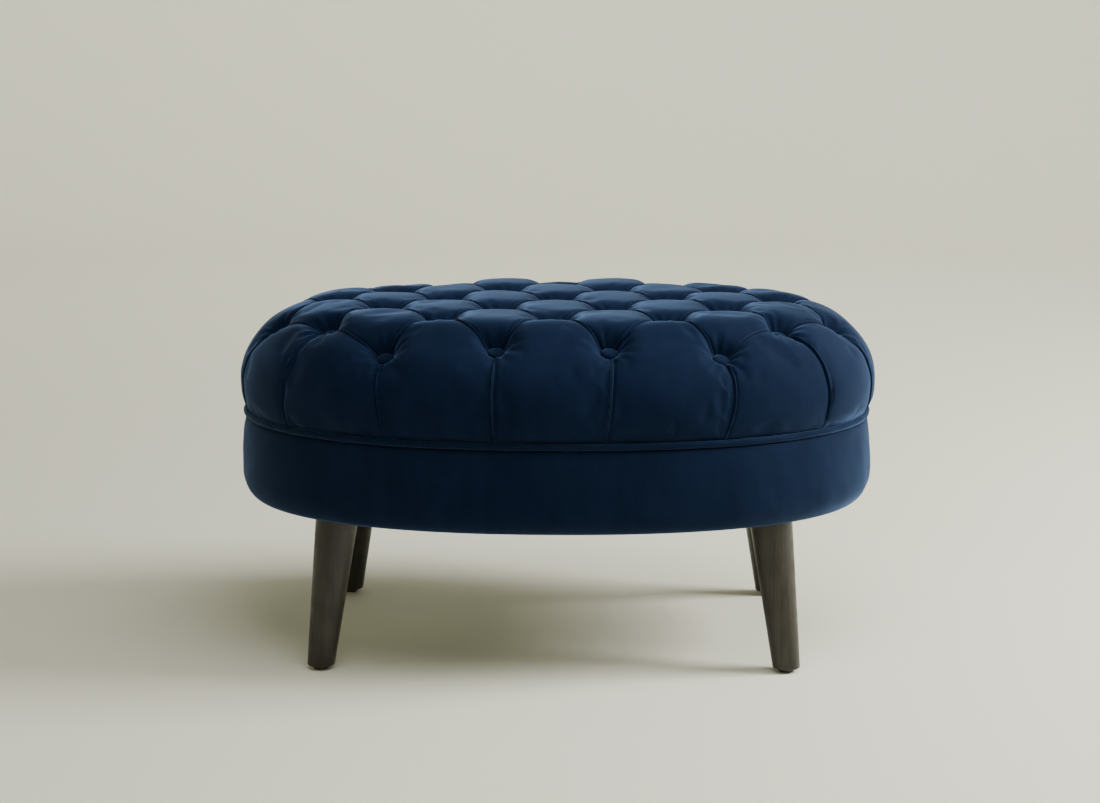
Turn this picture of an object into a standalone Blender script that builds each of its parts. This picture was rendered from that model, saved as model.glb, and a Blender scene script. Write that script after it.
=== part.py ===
"""Oval deep-buttoned ottoman, built the way it is made: boards and a bent hoop, foam, padding, covers,
a welt, covered buttons, and four splayed legs on hanger bolts.

Frame: metres, +X along the length, +Y away from the front, +Z up, origin on the floor under the middle.
Most pieces follow one oval. A profile point (inset, z) is a ring of that oval drawn in by inset.
"""

import math

import bmesh
import bpy
import numpy as np
from mathutils import Vector
from mathutils.geometry import delaunay_2d_cdt

# ---- overall sizes -------------------------------------------------------------------------------
HALF_LENGTH = 0.440  # widest line of the seat, along X
HALF_DEPTH = 0.305  # the same, along Y
OVAL_POWER = 2.26  # 2 is a plain ellipse, more is fuller at its shoulders
BASE_Z = 0.2081  # underside of the band, where the legs come out
DECK_Z = 0.3300  # top of the deck board, where the foam starts
WIDEST_Z = 0.3715  # height of the seat's widest line
SEAT_RISE = 0.1035  # from the widest line up to the flat of the seat
SHOULDER = 0.140  # how far in the rounded shoulder reaches
DOME = 0.005  # extra crown in the middle

# ---- tufting -------------------------------------------------------------------------------------
BUTTONS_IN_ROW = (4, 5, 6, 5, 6, 5, 4)
BORDER_X = 0.054  # widest line to the outermost buttons, along X
BORDER_Y = 0.0515  # widest line to the first row, along Y
ROW_BEND = 0.25  # how much the rows' ends turn in with the oval
ROW_PINCH = 0.035  # how much closer the buttons of the outer rows stand
PIT_DEPTH = 0.030  # seat flat down to a button's seat, in the middle
BORDER_PIT_DEPTH = 0.020  # the same for a button on the shoulder
PLEAT_DEPTH = 0.0045  # the fold halfway between two buttons
BUTTON_RADIUS = 0.0114
BUTTON_HEIGHT = 0.0062
BUTTON_UPRIGHT = 0.7  # how far a button's twine, which runs straight down, turns it to face up
BUTTON_SEAT = 0.0140  # radius of the flat that a button sits on

# ---- covers and boards ---------------------------------------------------------------------------
CLOTH = 0.0018  # velvet with its backing
GAP = 0.0003  # clearance between pieces that touch
WELT_RADIUS = 0.0047
WELT_INSET = 0.0093
BAND_TOP_INSET = 0.0072
BAND_INSET = 0.0012  # the band at its fullest
BAND_EDGE_IN = 0.026  # the band's soft lower edge, inwards
BAND_EDGE_UP = 0.036  # and upwards
BAND_HEM = 0.043  # inset at which the turned-under hem ends
DECK_THICKNESS = 0.018
BOARD_THICKNESS = 0.018
HOOP_THICKNESS = 0.012
PADDING = 0.011  # wadding between hoop and band
CAMBRIC = 0.0012

# ---- legs ----------------------------------------------------------------------------------------
FOOT_INSET, FOOT_TURN = 0.022348757, 43.46806826  # the oval the feet stand on, and where on it, in degrees
SPLAY_X, SPLAY_Y = 0.1150, 0.1100  # sideways travel per metre of height
LEG_TOP_RADIUS = 0.0290
LEG_FOOT_RADIUS = 0.0185
FOOT_CHAMFER = 0.0015
GLIDE_RADIUS, GLIDE_HEIGHT = 0.0105, 0.0050
NAIL_RADIUS, NAIL_LENGTH = 0.0012, 0.0160
BOLT_RADIUS, BOLT_IN_LEG = 0.0040, 0.0350
FLANGE_RADIUS, FLANGE_THICKNESS = 0.0120, 0.0015  # tee nut, on top of the base board
BARREL_WALL, BARREL_LENGTH = 0.0016, 0.0120

# ---- fineness ------------------------------------------------------------------------------------
OVAL_STEPS = 48
ROUND_STEPS = 16
BUTTON_STEPS = 10
SEAT_STEPS = 8

# ---- values that follow from those above -----------------------------------------------------------
FOOT_X = (HALF_LENGTH - FOOT_INSET) * math.cos(math.radians(FOOT_TURN)) ** (2 / OVAL_POWER)
FOOT_Y = (HALF_DEPTH - FOOT_INSET) * math.sin(math.radians(FOOT_TURN)) ** (2 / OVAL_POWER)
WELT_Z = DECK_Z - WELT_RADIUS - GAP / 3
COVER_TUCK = WELT_INSET + WELT_RADIUS + 0.0005  # the seat cover's hem passes behind the welt
DECK_INSET = COVER_TUCK + CLOTH + GAP
BAND_TOP_Z = WELT_Z - WELT_RADIUS - GAP
HEM_TOP_Z = BASE_Z + CLOTH
BOARD_Z = HEM_TOP_Z + GAP
HOOP_Z = BOARD_Z + BOARD_THICKNESS + GAP
HOOP_TOP_Z = DECK_Z - DECK_THICKNESS - GAP
BAND_INNER = BAND_INSET + CLOTH + GAP
HOOP_INSET = BAND_INNER + PADDING + GAP
BOARD_INSET = BAND_INSET + BAND_EDGE_IN + GAP
CAMBRIC_TOP_Z = BASE_Z - GAP
CAMBRIC_Z = CAMBRIC_TOP_Z - CAMBRIC
LEG_TOP_Z = CAMBRIC_Z - GAP
LEG_Z = GLIDE_HEIGHT + GAP
BOARD_TOP_Z = BOARD_Z + BOARD_THICKNESS
BOLT_HOLE = BOLT_RADIUS + GAP
BARREL_RADIUS = BOLT_HOLE + BARREL_WALL

VELVET = ("velvet", (0.012, 0.035, 0.110), 0.85, 0.0)
FOAM = ("foam", (0.80, 0.74, 0.55), 0.95, 0.0)
WADDING = ("wadding", (0.85, 0.84, 0.80), 0.95, 0.0)
PLYWOOD = ("plywood", (0.62, 0.46, 0.28), 0.70, 0.0)
CAMBRIC_CLOTH = ("cambric", (0.015, 0.015, 0.016), 0.95, 0.0)
STAINED_WOOD = ("stained_wood", (0.028, 0.022, 0.018), 0.45, 0.0)
STEEL = ("zinc_steel", (0.45, 0.46, 0.47), 0.35, 1.0)
GLIDE_PLASTIC = ("glide_plastic", (0.020, 0.018, 0.016), 0.50, 0.0)


def clear_scene():
    """Remove every object that the file opened with."""
    for old in list(bpy.data.objects):
        bpy.data.objects.remove(old, do_unlink=True)


def material(finish):
    """The material of a finish (name, colour, roughness, metallic), made once."""
    name, colour, roughness, metallic = finish
    if name in bpy.data.materials:
        return bpy.data.materials[name]
    made = bpy.data.materials.new(name)
    made.use_nodes = True
    shader = made.node_tree.nodes["Principled BSDF"]
    shader.inputs["Base Color"].default_value = (*colour, 1.0)
    shader.inputs["Roughness"].default_value = roughness
    shader.inputs["Metallic"].default_value = metallic
    made.diffuse_color = (*colour, 1.0)
    return made


def add_piece(name, points, faces, finish):
    """A named object from points and faces, its faces turned outwards and shaded smooth."""
    mesh = bpy.data.meshes.new(name)
    mesh.from_pydata([tuple(map(float, p)) for p in points], [], faces)
    work = bmesh.new()
    work.from_mesh(mesh)
    bmesh.ops.recalc_face_normals(work, faces=work.faces)
    work.to_mesh(mesh)
    work.free()
    mesh.shade_smooth()
    mesh.set_sharp_from_angle(angle=math.radians(35))
    mesh.materials.append(material(finish))
    piece = bpy.data.objects.new(name, mesh)
    bpy.context.collection.objects.link(piece)
    return piece


def superellipse(half_x, half_y, power, steps):
    """Points (x, y) of the curve |x/half_x|^power + |y/half_y|^power = 1, anticlockwise."""
    turn = 2 * np.pi * np.arange(steps) / steps
    c, s = np.cos(turn), np.sin(turn)
    x = half_x * np.sign(c) * np.abs(c) ** (2 / power)
    y = half_y * np.sign(s) * np.abs(s) ** (2 / power)
    return np.column_stack([x, y])


def oval(inset):
    """The ottoman's outline, drawn in by inset."""
    return superellipse(HALF_LENGTH - inset, HALF_DEPTH - inset, OVAL_POWER, OVAL_STEPS)


def ring(outline, z):
    """An outline at height z."""
    return np.column_stack([outline, np.full(len(outline), z)])


def between(low, high, steps):
    """Faces of the strip between two rings that start at point numbers low and high."""
    following = [(i + 1) % steps for i in range(steps)]
    return [(low + i, low + following[i], high + following[i], high + i) for i in range(steps)]


def loft(name, rings, finish, hollow=False):
    """A solid skinned over rings. Its ends are capped, or joined to each other when it is hollow."""
    steps = len(rings[0])
    starts = [steps * i for i in range(len(rings))]
    faces = []
    for low, high in zip(starts, starts[1:]):
        faces += between(low, high, steps)
    if hollow:
        faces += between(starts[-1], 0, steps)
    else:
        faces += [tuple(range(steps)), tuple(range(starts[-1], starts[-1] + steps))]
    return add_piece(name, np.concatenate(rings), faces, finish)


def oval_loft(name, profile, finish, hollow=False):
    """A loft whose rings are the oval at each (inset, z) of the profile."""
    return loft(name, [ring(oval(inset), z) for inset, z in profile], finish, hollow)


# ---- the seat's surface ----------------------------------------------------------------------------
def inset_at(x, y):
    """The inset of the oval that passes through each (x, y), found by halving."""
    low, high = np.zeros(len(x)), np.full(len(x), HALF_DEPTH * 0.999)
    for _ in range(40):
        middle = (low + high) / 2
        reach = (np.abs(x) / (HALF_LENGTH - middle)) ** OVAL_POWER
        reach = reach + (np.abs(y) / (HALF_DEPTH - middle)) ** OVAL_POWER
        low, high = np.where(reach < 1, middle, low), np.where(reach < 1, high, middle)
    return low


def crown_z(inset):
    """Seat height at an inset: a quarter ellipse over the shoulder, then a slight dome."""
    run = 1 - np.clip(inset / SHOULDER, 0, 1)
    middle = 1 - np.clip(inset / HALF_DEPTH, 0, 1)
    return WIDEST_Z + SEAT_RISE * np.sqrt(1 - run**2) + DOME * (1 - middle**2)


def crown_points(plan):
    """Points of the untufted seat over plan points, and the directions that face out of it."""
    x, y = plan[:, 0], plan[:, 1]
    step = 1e-4
    slope_x = (crown_z(inset_at(x + step, y)) - crown_z(inset_at(x - step, y))) / (2 * step)
    slope_y = (crown_z(inset_at(x, y + step)) - crown_z(inset_at(x, y - step))) / (2 * step)
    out = np.column_stack([-slope_x, -slope_y, np.ones(len(x))])
    out /= np.linalg.norm(out, axis=1, keepdims=True)
    return np.column_stack([plan, crown_z(inset_at(x, y))]), out


def tuft_spacing():
    """Distances between neighbouring buttons of a row, and between rows."""
    across = 2 * (HALF_LENGTH - BORDER_X) / (max(BUTTONS_IN_ROW) - 1)
    along = 2 * (HALF_DEPTH - BORDER_Y) / (len(BUTTONS_IN_ROW) - 1)
    return across, along


def lattice_point(column, row):
    """Plan place of a lattice point, counted from the middle in button spacings and rows."""
    across, along = tuft_spacing()
    x = column * across * (1 - ROW_PINCH * abs(2 * row / (len(BUTTONS_IN_ROW) - 1)) ** 3)
    return x, row * along * (1 - ROW_BEND * (x / HALF_LENGTH) ** 2)


def button_places():
    """{(row, column): plan place} of every button, numbered from 1 at the front left."""
    middle_row = (len(BUTTONS_IN_ROW) - 1) / 2
    return {
        (row + 1, column + 1): lattice_point(column - (count - 1) / 2, row - middle_row)
        for row, count in enumerate(BUTTONS_IN_ROW)
        for column in range(count)
    }


def button_depth(plan):
    """Depth of each button's seat below the crown: less on the shoulder than in the middle."""
    share = np.clip(inset_at(plan[:, 0], plan[:, 1]) / SHOULDER, 0, 1)
    least = BORDER_X / SHOULDER
    share = np.clip((share - least) / (1 - least), 0, 1)
    return BORDER_PIT_DEPTH + (PIT_DEPTH - BORDER_PIT_DEPTH) * share


def seat_frames():
    """Each button's seat: its centre, the direction it faces, and two directions in its plane."""
    plan = np.array(list(button_places().values()))
    top, out = crown_points(plan)
    centre = top - out * button_depth(plan)[:, None]
    out = out + BUTTON_UPRIGHT * np.array([0.0, 0.0, 1.0])
    out /= np.linalg.norm(out, axis=1, keepdims=True)
    side = np.cross([0.0, 1.0, 0.0], out)
    side /= np.linalg.norm(side, axis=1, keepdims=True)
    return centre, out, side, np.cross(out, side)


def tufted_top():
    """The tufted seat above its widest line: points, outward directions and triangles.

    The points are the oval's rings, a small flat ring at each button, the folds halfway between
    neighbouring buttons, and the crown of each puff. They are joined in plan, then lifted.
    """
    rings = [oval(SHOULDER * (1 - math.cos(math.radians(a)))) for a in (0, 16, 27)]
    plan, lifted, out = [rings[0]], [ring(rings[0], WIDEST_Z)], [outward(rings[0])]
    for outline in rings[1:]:
        points, facing = crown_points(outline)
        plan.append(outline)
        lifted.append(points)
        out.append(facing)

    places = np.array(list(button_places().values()))
    centre, facing, side, up = seat_frames()
    turn = 2 * np.pi * np.arange(SEAT_STEPS) / SEAT_STEPS
    for i in range(len(places)):
        circle = BUTTON_SEAT * np.column_stack([np.cos(turn), np.sin(turn)])
        plan.append(places[i] + circle)
        lifted.append(centre[i] + circle[:, :1] * side[i] + circle[:, 1:] * up[i])
        out.append(np.repeat(facing[i : i + 1], SEAT_STEPS, axis=0))

    for loose, depth in ((fold_places(), PLEAT_DEPTH), (puff_places(), 0.0)):
        points, facing = crown_points(loose)
        plan.append(loose)
        lifted.append(points - facing * depth)
        out.append(facing)

    plan = np.concatenate(plan)
    edge = [(i, (i + 1) % OVAL_STEPS) for i in range(OVAL_STEPS)]
    joined = delaunay_2d_cdt([Vector(p) for p in plan], edge, [], 0, 1e-7)
    order = [ids[0] for ids in joined[3]]
    faces = [tuple(order[i] for i in face) for face in joined[2]]
    return np.concatenate(lifted), np.concatenate(out), faces


def outward(outline):
    """Level directions that face out of a closed outline."""
    along = np.roll(outline, -1, axis=0) - np.roll(outline, 1, axis=0)
    out = np.column_stack([along[:, 1], -along[:, 0], np.zeros(len(outline))])
    return out / np.linalg.norm(out, axis=1, keepdims=True)


def neighbours():
    """Pairs of buttons that a diagonal fold joins: half a spacing across, one row along."""
    keys = {}
    middle_row = (len(BUTTONS_IN_ROW) - 1) / 2
    for row, count in enumerate(BUTTONS_IN_ROW):
        for column in range(count):
            keys[(round(2 * column - (count - 1)), row - middle_row)] = True
    return [
        ((a, row), (a + sign, row + 1))
        for a, row in keys
        for sign in (-1, 1)
        if (a + sign, row + 1) in keys
    ]


def fold_places():
    """Plan places halfway along every diagonal fold."""
    ends = [(lattice_point(a / 2, r), lattice_point(b / 2, s)) for (a, r), (b, s) in neighbours()]
    return np.array(ends).mean(axis=1)


def puff_places():
    """Plan places of the puffs' crowns: the lattice points between the buttons of a row."""
    middle_row = (len(BUTTONS_IN_ROW) - 1) / 2
    places = []
    for row, count in enumerate(BUTTONS_IN_ROW):
        for gap in range(count - 1):
            places.append(lattice_point(gap - (count - 2) / 2, row - middle_row))
    widest = (max(BUTTONS_IN_ROW) - 1) / 2
    places += [lattice_point(-widest, 0), lattice_point(widest, 0)]
    return np.array(places)


def seat_shell(offset, below):
    """Points and faces of the tufted seat drawn in by offset, with the profile below it, open under."""
    top, out, faces = tufted_top()
    points = [top - out * offset]
    count, last = len(top), 0
    for inset, z in below:
        points.append(ring(oval(inset + offset), z))
        faces = faces + between(count, last, OVAL_STEPS)
        last, count = count, count + OVAL_STEPS
    return np.concatenate(points), faces, last


def cover_profile():
    """The seat cover below its widest line: it draws in over the welt, then tucks behind it."""
    return [
        (0.0009, WIDEST_Z - 0.0160),
        (0.0040, DECK_Z + 0.0120),
        (BAND_TOP_INSET + 0.0006, DECK_Z + 0.0036),
        (WELT_INSET + 0.0024, DECK_Z + 0.0008),
        (COVER_TUCK, WELT_Z + 0.0030),
        (COVER_TUCK, DECK_Z - DECK_THICKNESS),
    ]


def add_top_cover():
    """The velvet shell: the tufted seat outside, the same drawn in by one cloth inside, a hem below."""
    outer, outer_faces, outer_last = seat_shell(0.0, cover_profile())
    inner, inner_faces, inner_last = seat_shell(CLOTH, cover_profile())
    inner_faces = [tuple(len(outer) + i for i in face) for face in inner_faces]
    hem = between(outer_last, len(outer) + inner_last, OVAL_STEPS)
    add_piece("top_cover", np.concatenate([outer, inner]), outer_faces + inner_faces + hem, VELVET)


def add_foam_pad():
    """The seat foam: the cover's inside drawn in by the gap, down to the deck board."""
    below = cover_profile()[:3]
    points, faces, last = seat_shell(CLOTH + GAP, below)
    floor = ring(oval(DECK_INSET), DECK_Z + GAP)
    faces = faces + between(len(points), last, OVAL_STEPS)
    faces.append(tuple(range(len(points), len(points) + OVAL_STEPS)))
    add_piece("foam_pad", np.concatenate([points, floor]), faces, FOAM)


def add_buttons():
    """A covered button on each seat: a low dome, wider just above its flat back."""
    profile = ((0.92, 0.0), (1.0, 0.32), (0.66, 1.0))
    turn = 2 * np.pi * np.arange(BUTTON_STEPS) / BUTTON_STEPS
    circle = np.column_stack([np.cos(turn), np.sin(turn)])
    centre, out, side, up = seat_frames()
    for i, (row, column) in enumerate(button_places()):
        rings = []
        for width, height in profile:
            flat = BUTTON_RADIUS * width * circle
            middle = centre[i] + out[i] * (GAP + BUTTON_HEIGHT * height)
            rings.append(middle + flat[:, :1] * side[i] + flat[:, 1:] * up[i])
        loft(f"button_r{row}_c{column}", rings, VELVET)


# ---- the base --------------------------------------------------------------------------------------
def band_edge(grow, steps=4):
    """The band's soft lower edge as a quarter ellipse, grown inwards by grow."""
    centre_in, centre_z = BAND_INSET + BAND_EDGE_IN, BASE_Z + BAND_EDGE_UP
    points = []
    for i in range(steps + 1):
        a = math.pi / 2 * i / steps
        inset = centre_in - (BAND_EDGE_IN - grow) * math.cos(a)
        points.append((inset, centre_z - (BAND_EDGE_UP - grow) * math.sin(a)))
    return points


def add_base():
    """Boards, hoop, padding, band cover, welt and dust cover."""
    oval_loft("deck_board", [(DECK_INSET, DECK_Z - DECK_THICKNESS), (DECK_INSET, DECK_Z)], PLYWOOD)
    oval_loft("base_board", [(BOARD_INSET, BOARD_Z), (BOARD_INSET, BOARD_TOP_Z)], PLYWOOD)
    hoop_in = HOOP_INSET + HOOP_THICKNESS
    hoop = [(HOOP_INSET, HOOP_Z), (HOOP_INSET, HOOP_TOP_Z), (hoop_in, HOOP_TOP_Z), (hoop_in, HOOP_Z)]
    oval_loft("apron_hoop", hoop, PLYWOOD, hollow=True)

    middle_z = BASE_Z + 0.62 * (BAND_TOP_Z - BASE_Z)
    outer = [(BAND_TOP_INSET + 0.0040, BAND_TOP_Z), (BAND_TOP_INSET, BAND_TOP_Z - 0.0012)]
    outer += [(BAND_INSET + 0.0018, BAND_TOP_Z - 0.0130), (BAND_INSET, middle_z)]
    outer += band_edge(0.0) + [(BAND_HEM, BASE_Z)]
    inner = [(BAND_HEM, HEM_TOP_Z)] + band_edge(CLOTH)[::-1]
    inner += [(BAND_INSET + CLOTH, middle_z), (BAND_INSET + CLOTH + 0.0018, BAND_TOP_Z - 0.0130)]
    inner += [(BAND_TOP_INSET + 0.0040, BAND_TOP_Z - 0.0060)]
    oval_loft("band_cover", outer + inner, VELVET, hollow=True)

    wrap_in, hoop_out, top_z = BOARD_INSET - GAP, HOOP_INSET - GAP, HOOP_TOP_Z - 0.0010
    padding = [(BAND_TOP_INSET + 0.0046, top_z), (BAND_INNER + 0.0018, BAND_TOP_Z - 0.0150)]
    padding += [(BAND_INNER, middle_z)] + band_edge(CLOTH + GAP)[:-1]
    padding += [(wrap_in, BOARD_Z + 0.0030), (wrap_in, HOOP_Z - GAP)]
    padding += [(hoop_out, HOOP_Z - GAP), (hoop_out, top_z)]
    oval_loft("band_padding", padding, WADDING, hollow=True)

    turn = [2 * math.pi * i / 8 for i in range(8)]
    welt = [(WELT_INSET + WELT_RADIUS * math.cos(a), WELT_Z + WELT_RADIUS * math.sin(a)) for a in turn]
    oval_loft("welt_cord", welt, VELVET, hollow=True)
    cambric_in = BOARD_INSET + 0.008
    oval_loft("dust_cover", [(cambric_in, CAMBRIC_Z), (cambric_in, CAMBRIC_TOP_Z)], CAMBRIC_CLOTH)


# ---- the legs --------------------------------------------------------------------------------------
def on_leg_axis(side_x, side_y, z):
    """Middle of a leg at height z: it leans outwards on its way down."""
    return side_x * (FOOT_X - SPLAY_X * z), side_y * (FOOT_Y - SPLAY_Y * z)


def leaning(name, side_x, side_y, stations, finish, steps=ROUND_STEPS, hollow=False):
    """A loft of level circles along a leg's axis, one at each station (radius, z)."""
    rings = []
    for radius, z in stations:
        circle = superellipse(radius, radius, 2.0, steps)
        rings.append(ring(circle + on_leg_axis(side_x, side_y, z), z))
    return loft(name, rings, finish, hollow)


def cut(piece, tool):
    """Subtract tool from piece with a live exact Boolean."""
    change = piece.modifiers.new(f"cut_{tool.name}", "BOOLEAN")
    change.operation = "DIFFERENCE"
    change.object = tool
    tool.hide_render = True
    tool.display_type = "WIRE"


def add_leg(corner, side_x, side_y):
    """One leg with its glide, hanger bolt and tee nut, and the holes they need in the base."""
    nail_hole = NAIL_RADIUS + GAP
    leg = [
        (nail_hole, LEG_Z + NAIL_LENGTH + GAP),
        (nail_hole, LEG_Z),
        (LEG_FOOT_RADIUS - FOOT_CHAMFER, LEG_Z),
        (LEG_FOOT_RADIUS, LEG_Z + FOOT_CHAMFER),
        (LEG_TOP_RADIUS, LEG_TOP_Z),
        (BOLT_HOLE, LEG_TOP_Z),
        (BOLT_HOLE, LEG_TOP_Z - BOLT_IN_LEG - GAP),
    ]
    leaning(f"leg_{corner}", side_x, side_y, leg, STAINED_WOOD)
    glide = [
        (GLIDE_RADIUS - 0.0010, 0.0),
        (GLIDE_RADIUS, 0.0012),
        (GLIDE_RADIUS, GLIDE_HEIGHT),
        (NAIL_RADIUS, GLIDE_HEIGHT),
        (NAIL_RADIUS, LEG_Z + NAIL_LENGTH),
    ]
    leaning(f"glide_{corner}", side_x, side_y, glide, GLIDE_PLASTIC, steps=12)
    flange_z = BOARD_TOP_Z + GAP
    nut = [
        (BOLT_HOLE, flange_z + FLANGE_THICKNESS),
        (FLANGE_RADIUS, flange_z + FLANGE_THICKNESS),
        (FLANGE_RADIUS, flange_z),
        (BARREL_RADIUS, flange_z),
        (BARREL_RADIUS, flange_z - BARREL_LENGTH),
        (BOLT_HOLE, flange_z - BARREL_LENGTH),
    ]
    leaning(f"tee_nut_{corner}", side_x, side_y, nut, STEEL, steps=12, hollow=True)
    bolt = [(BOLT_RADIUS, LEG_TOP_Z - BOLT_IN_LEG), (BOLT_RADIUS, flange_z + FLANGE_THICKNESS)]
    leaning(f"hanger_bolt_{corner}", side_x, side_y, bolt, STEEL, steps=12)
    reach = 0.004
    tool = [(BARREL_RADIUS + GAP, CAMBRIC_Z - reach), (BARREL_RADIUS + GAP, BOARD_TOP_Z + reach)]
    drill = leaning(f"drill_{corner}", side_x, side_y, tool, STEEL)
    for pierced in ("base_board", "dust_cover"):
        cut(bpy.data.objects[pierced], drill)


def main():
    clear_scene()
    add_base()
    add_foam_pad()
    add_top_cover()
    add_buttons()
    for corner, side_x, side_y in (("fl", -1, -1), ("fr", 1, -1), ("bl", -1, 1), ("br", 1, 1)):
        add_leg(corner, side_x, side_y)


main()
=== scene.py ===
"""The looks of an oval deep-buttoned velvet ottoman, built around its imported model.

Everything is in metres in the model's frame: +X along the oval, +Y to the back, +Z up, the floor at z = 0.
"""

from __future__ import annotations

import logging
import math
import sys
from dataclasses import dataclass, field
from enum import Enum

import bmesh
import bpy
import numpy as np
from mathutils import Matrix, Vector


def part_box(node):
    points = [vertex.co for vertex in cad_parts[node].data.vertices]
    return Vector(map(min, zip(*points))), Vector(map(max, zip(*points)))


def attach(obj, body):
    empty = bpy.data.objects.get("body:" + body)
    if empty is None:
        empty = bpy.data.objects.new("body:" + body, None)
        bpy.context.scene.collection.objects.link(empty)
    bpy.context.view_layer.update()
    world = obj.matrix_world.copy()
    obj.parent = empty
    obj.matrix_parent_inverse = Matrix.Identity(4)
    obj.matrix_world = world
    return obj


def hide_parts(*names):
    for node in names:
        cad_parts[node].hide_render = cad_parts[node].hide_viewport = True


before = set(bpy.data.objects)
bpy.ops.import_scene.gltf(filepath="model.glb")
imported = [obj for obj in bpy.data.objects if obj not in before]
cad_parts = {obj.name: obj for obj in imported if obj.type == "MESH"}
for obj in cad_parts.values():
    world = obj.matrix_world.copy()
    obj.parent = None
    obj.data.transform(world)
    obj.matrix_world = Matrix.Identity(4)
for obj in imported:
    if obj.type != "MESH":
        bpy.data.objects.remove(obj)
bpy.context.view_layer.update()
LOG = logging.getLogger("ottoman")

MM = 0.001
TURN = 2 * math.pi
CORNERS = ("fl", "fr", "bl", "br")


# ====================================================================================================
# Mesh helpers
# ====================================================================================================
def add_mesh(name: str, points: np.ndarray, faces: list[np.ndarray], sharp: float = 60.0) -> bpy.types.Object:
    """Make one mesh object from whole arrays, with its faces turned outwards and shaded smooth.

    Args:
        name: The piece's name.
        points: Vertex places, one row each, in metres.
        faces: Arrays of vertex numbers, each array holding faces with the same number of corners.
        sharp: Edges that turn by more than this many degrees stay sharp.

    Returns:
        The object, at the origin.
    """
    loops = np.concatenate([f.ravel() for f in faces]).astype(np.int32)
    sizes = np.concatenate([np.full(len(f), f.shape[1]) for f in faces]).astype(np.int32)
    starts = np.concatenate([[0], np.cumsum(sizes)[:-1]]).astype(np.int32)
    mesh = bpy.data.meshes.new(name)
    mesh.vertices.add(len(points))
    mesh.vertices.foreach_set("co", np.ascontiguousarray(points, np.float32).ravel())
    mesh.loops.add(len(loops))
    mesh.loops.foreach_set("vertex_index", loops)
    mesh.polygons.add(len(sizes))
    mesh.polygons.foreach_set("loop_start", starts)
    mesh.update(calc_edges=True)
    work = bmesh.new()
    work.from_mesh(mesh)
    bmesh.ops.recalc_face_normals(work, faces=work.faces)
    work.to_mesh(mesh)
    work.free()
    mesh.shade_smooth()
    mesh.set_sharp_from_angle(angle=math.radians(sharp))
    piece = bpy.data.objects.new(name, mesh)
    bpy.context.scene.collection.objects.link(piece)
    return piece


def grid_faces(rows: int, columns: int, closed: bool = True, start: int = 0) -> np.ndarray:
    """Quads of a grid of points stored row by row.

    Args:
        rows: Number of rows of points.
        columns: Number of points in a row.
        closed: Whether the last column joins the first.
        start: Number of the grid's first point.

    Returns:
        The quads, one row each.
    """
    wide = columns if closed else columns - 1
    row, column = np.meshgrid(np.arange(rows - 1), np.arange(wide), indexing="ij")
    following = (column + 1) % columns
    low, high = row * columns, (row + 1) * columns
    quads = np.stack([low + column, low + following, high + following, high + column], -1)
    return quads.reshape(-1, 4) + start


def add_grid(name: str, grid: np.ndarray, caps: bool, loop: bool = False, sharp: float = 60.0) -> bpy.types.Object:
    """Make a mesh from a grid of points whose rows are closed rings.

    Args:
        name: The piece's name.
        grid: Points in the shape (rows, columns, 3).
        caps: Whether a flat face closes the first and the last ring.
        loop: Whether the last ring joins the first, as on a hoop.
        sharp: Edges that turn by more than this many degrees stay sharp.

    Returns:
        The object.
    """
    rows, columns = grid.shape[:2]
    faces = [grid_faces(rows, columns)]
    if loop:
        first, last = np.arange(columns), (rows - 1) * columns + np.arange(columns)
        faces.append(np.stack([last, np.roll(last, -1), np.roll(first, -1), first], -1))
    if caps:
        ends = np.stack([np.arange(columns), (rows - 1) * columns + np.arange(columns)])
        faces.append(ends)
    return add_mesh(name, grid.reshape(-1, 3), faces, sharp)


def smoothstep(x: np.ndarray, low: float, high: float) -> np.ndarray:
    """An eased rise from 0 at low to 1 at high."""
    share = np.clip((x - low) / (high - low), 0.0, 1.0)
    return share * share * (3 - 2 * share)


def waves(points: np.ndarray, length: float, seed: int, count: int = 10) -> np.ndarray:
    """Smooth unevenness between about -1 and 1: a sum of sine waves in seeded directions.

    Args:
        points: Places, one row each, in two or three directions.
        length: The typical wavelength in metres.
        seed: Seed of the waves' directions and starts.
        count: Number of waves.

    Returns:
        One height for each place.
    """
    dice = np.random.default_rng(seed)
    direction = dice.normal(size=(count, points.shape[1]))
    direction /= np.linalg.norm(direction, axis=1, keepdims=True)
    pitch = TURN / (length * dice.uniform(0.7, 1.5, count))
    phase = dice.uniform(0, TURN, count)
    return np.sin(points @ (direction * pitch[:, None]).T + phase).sum(1) / math.sqrt(count)


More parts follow.
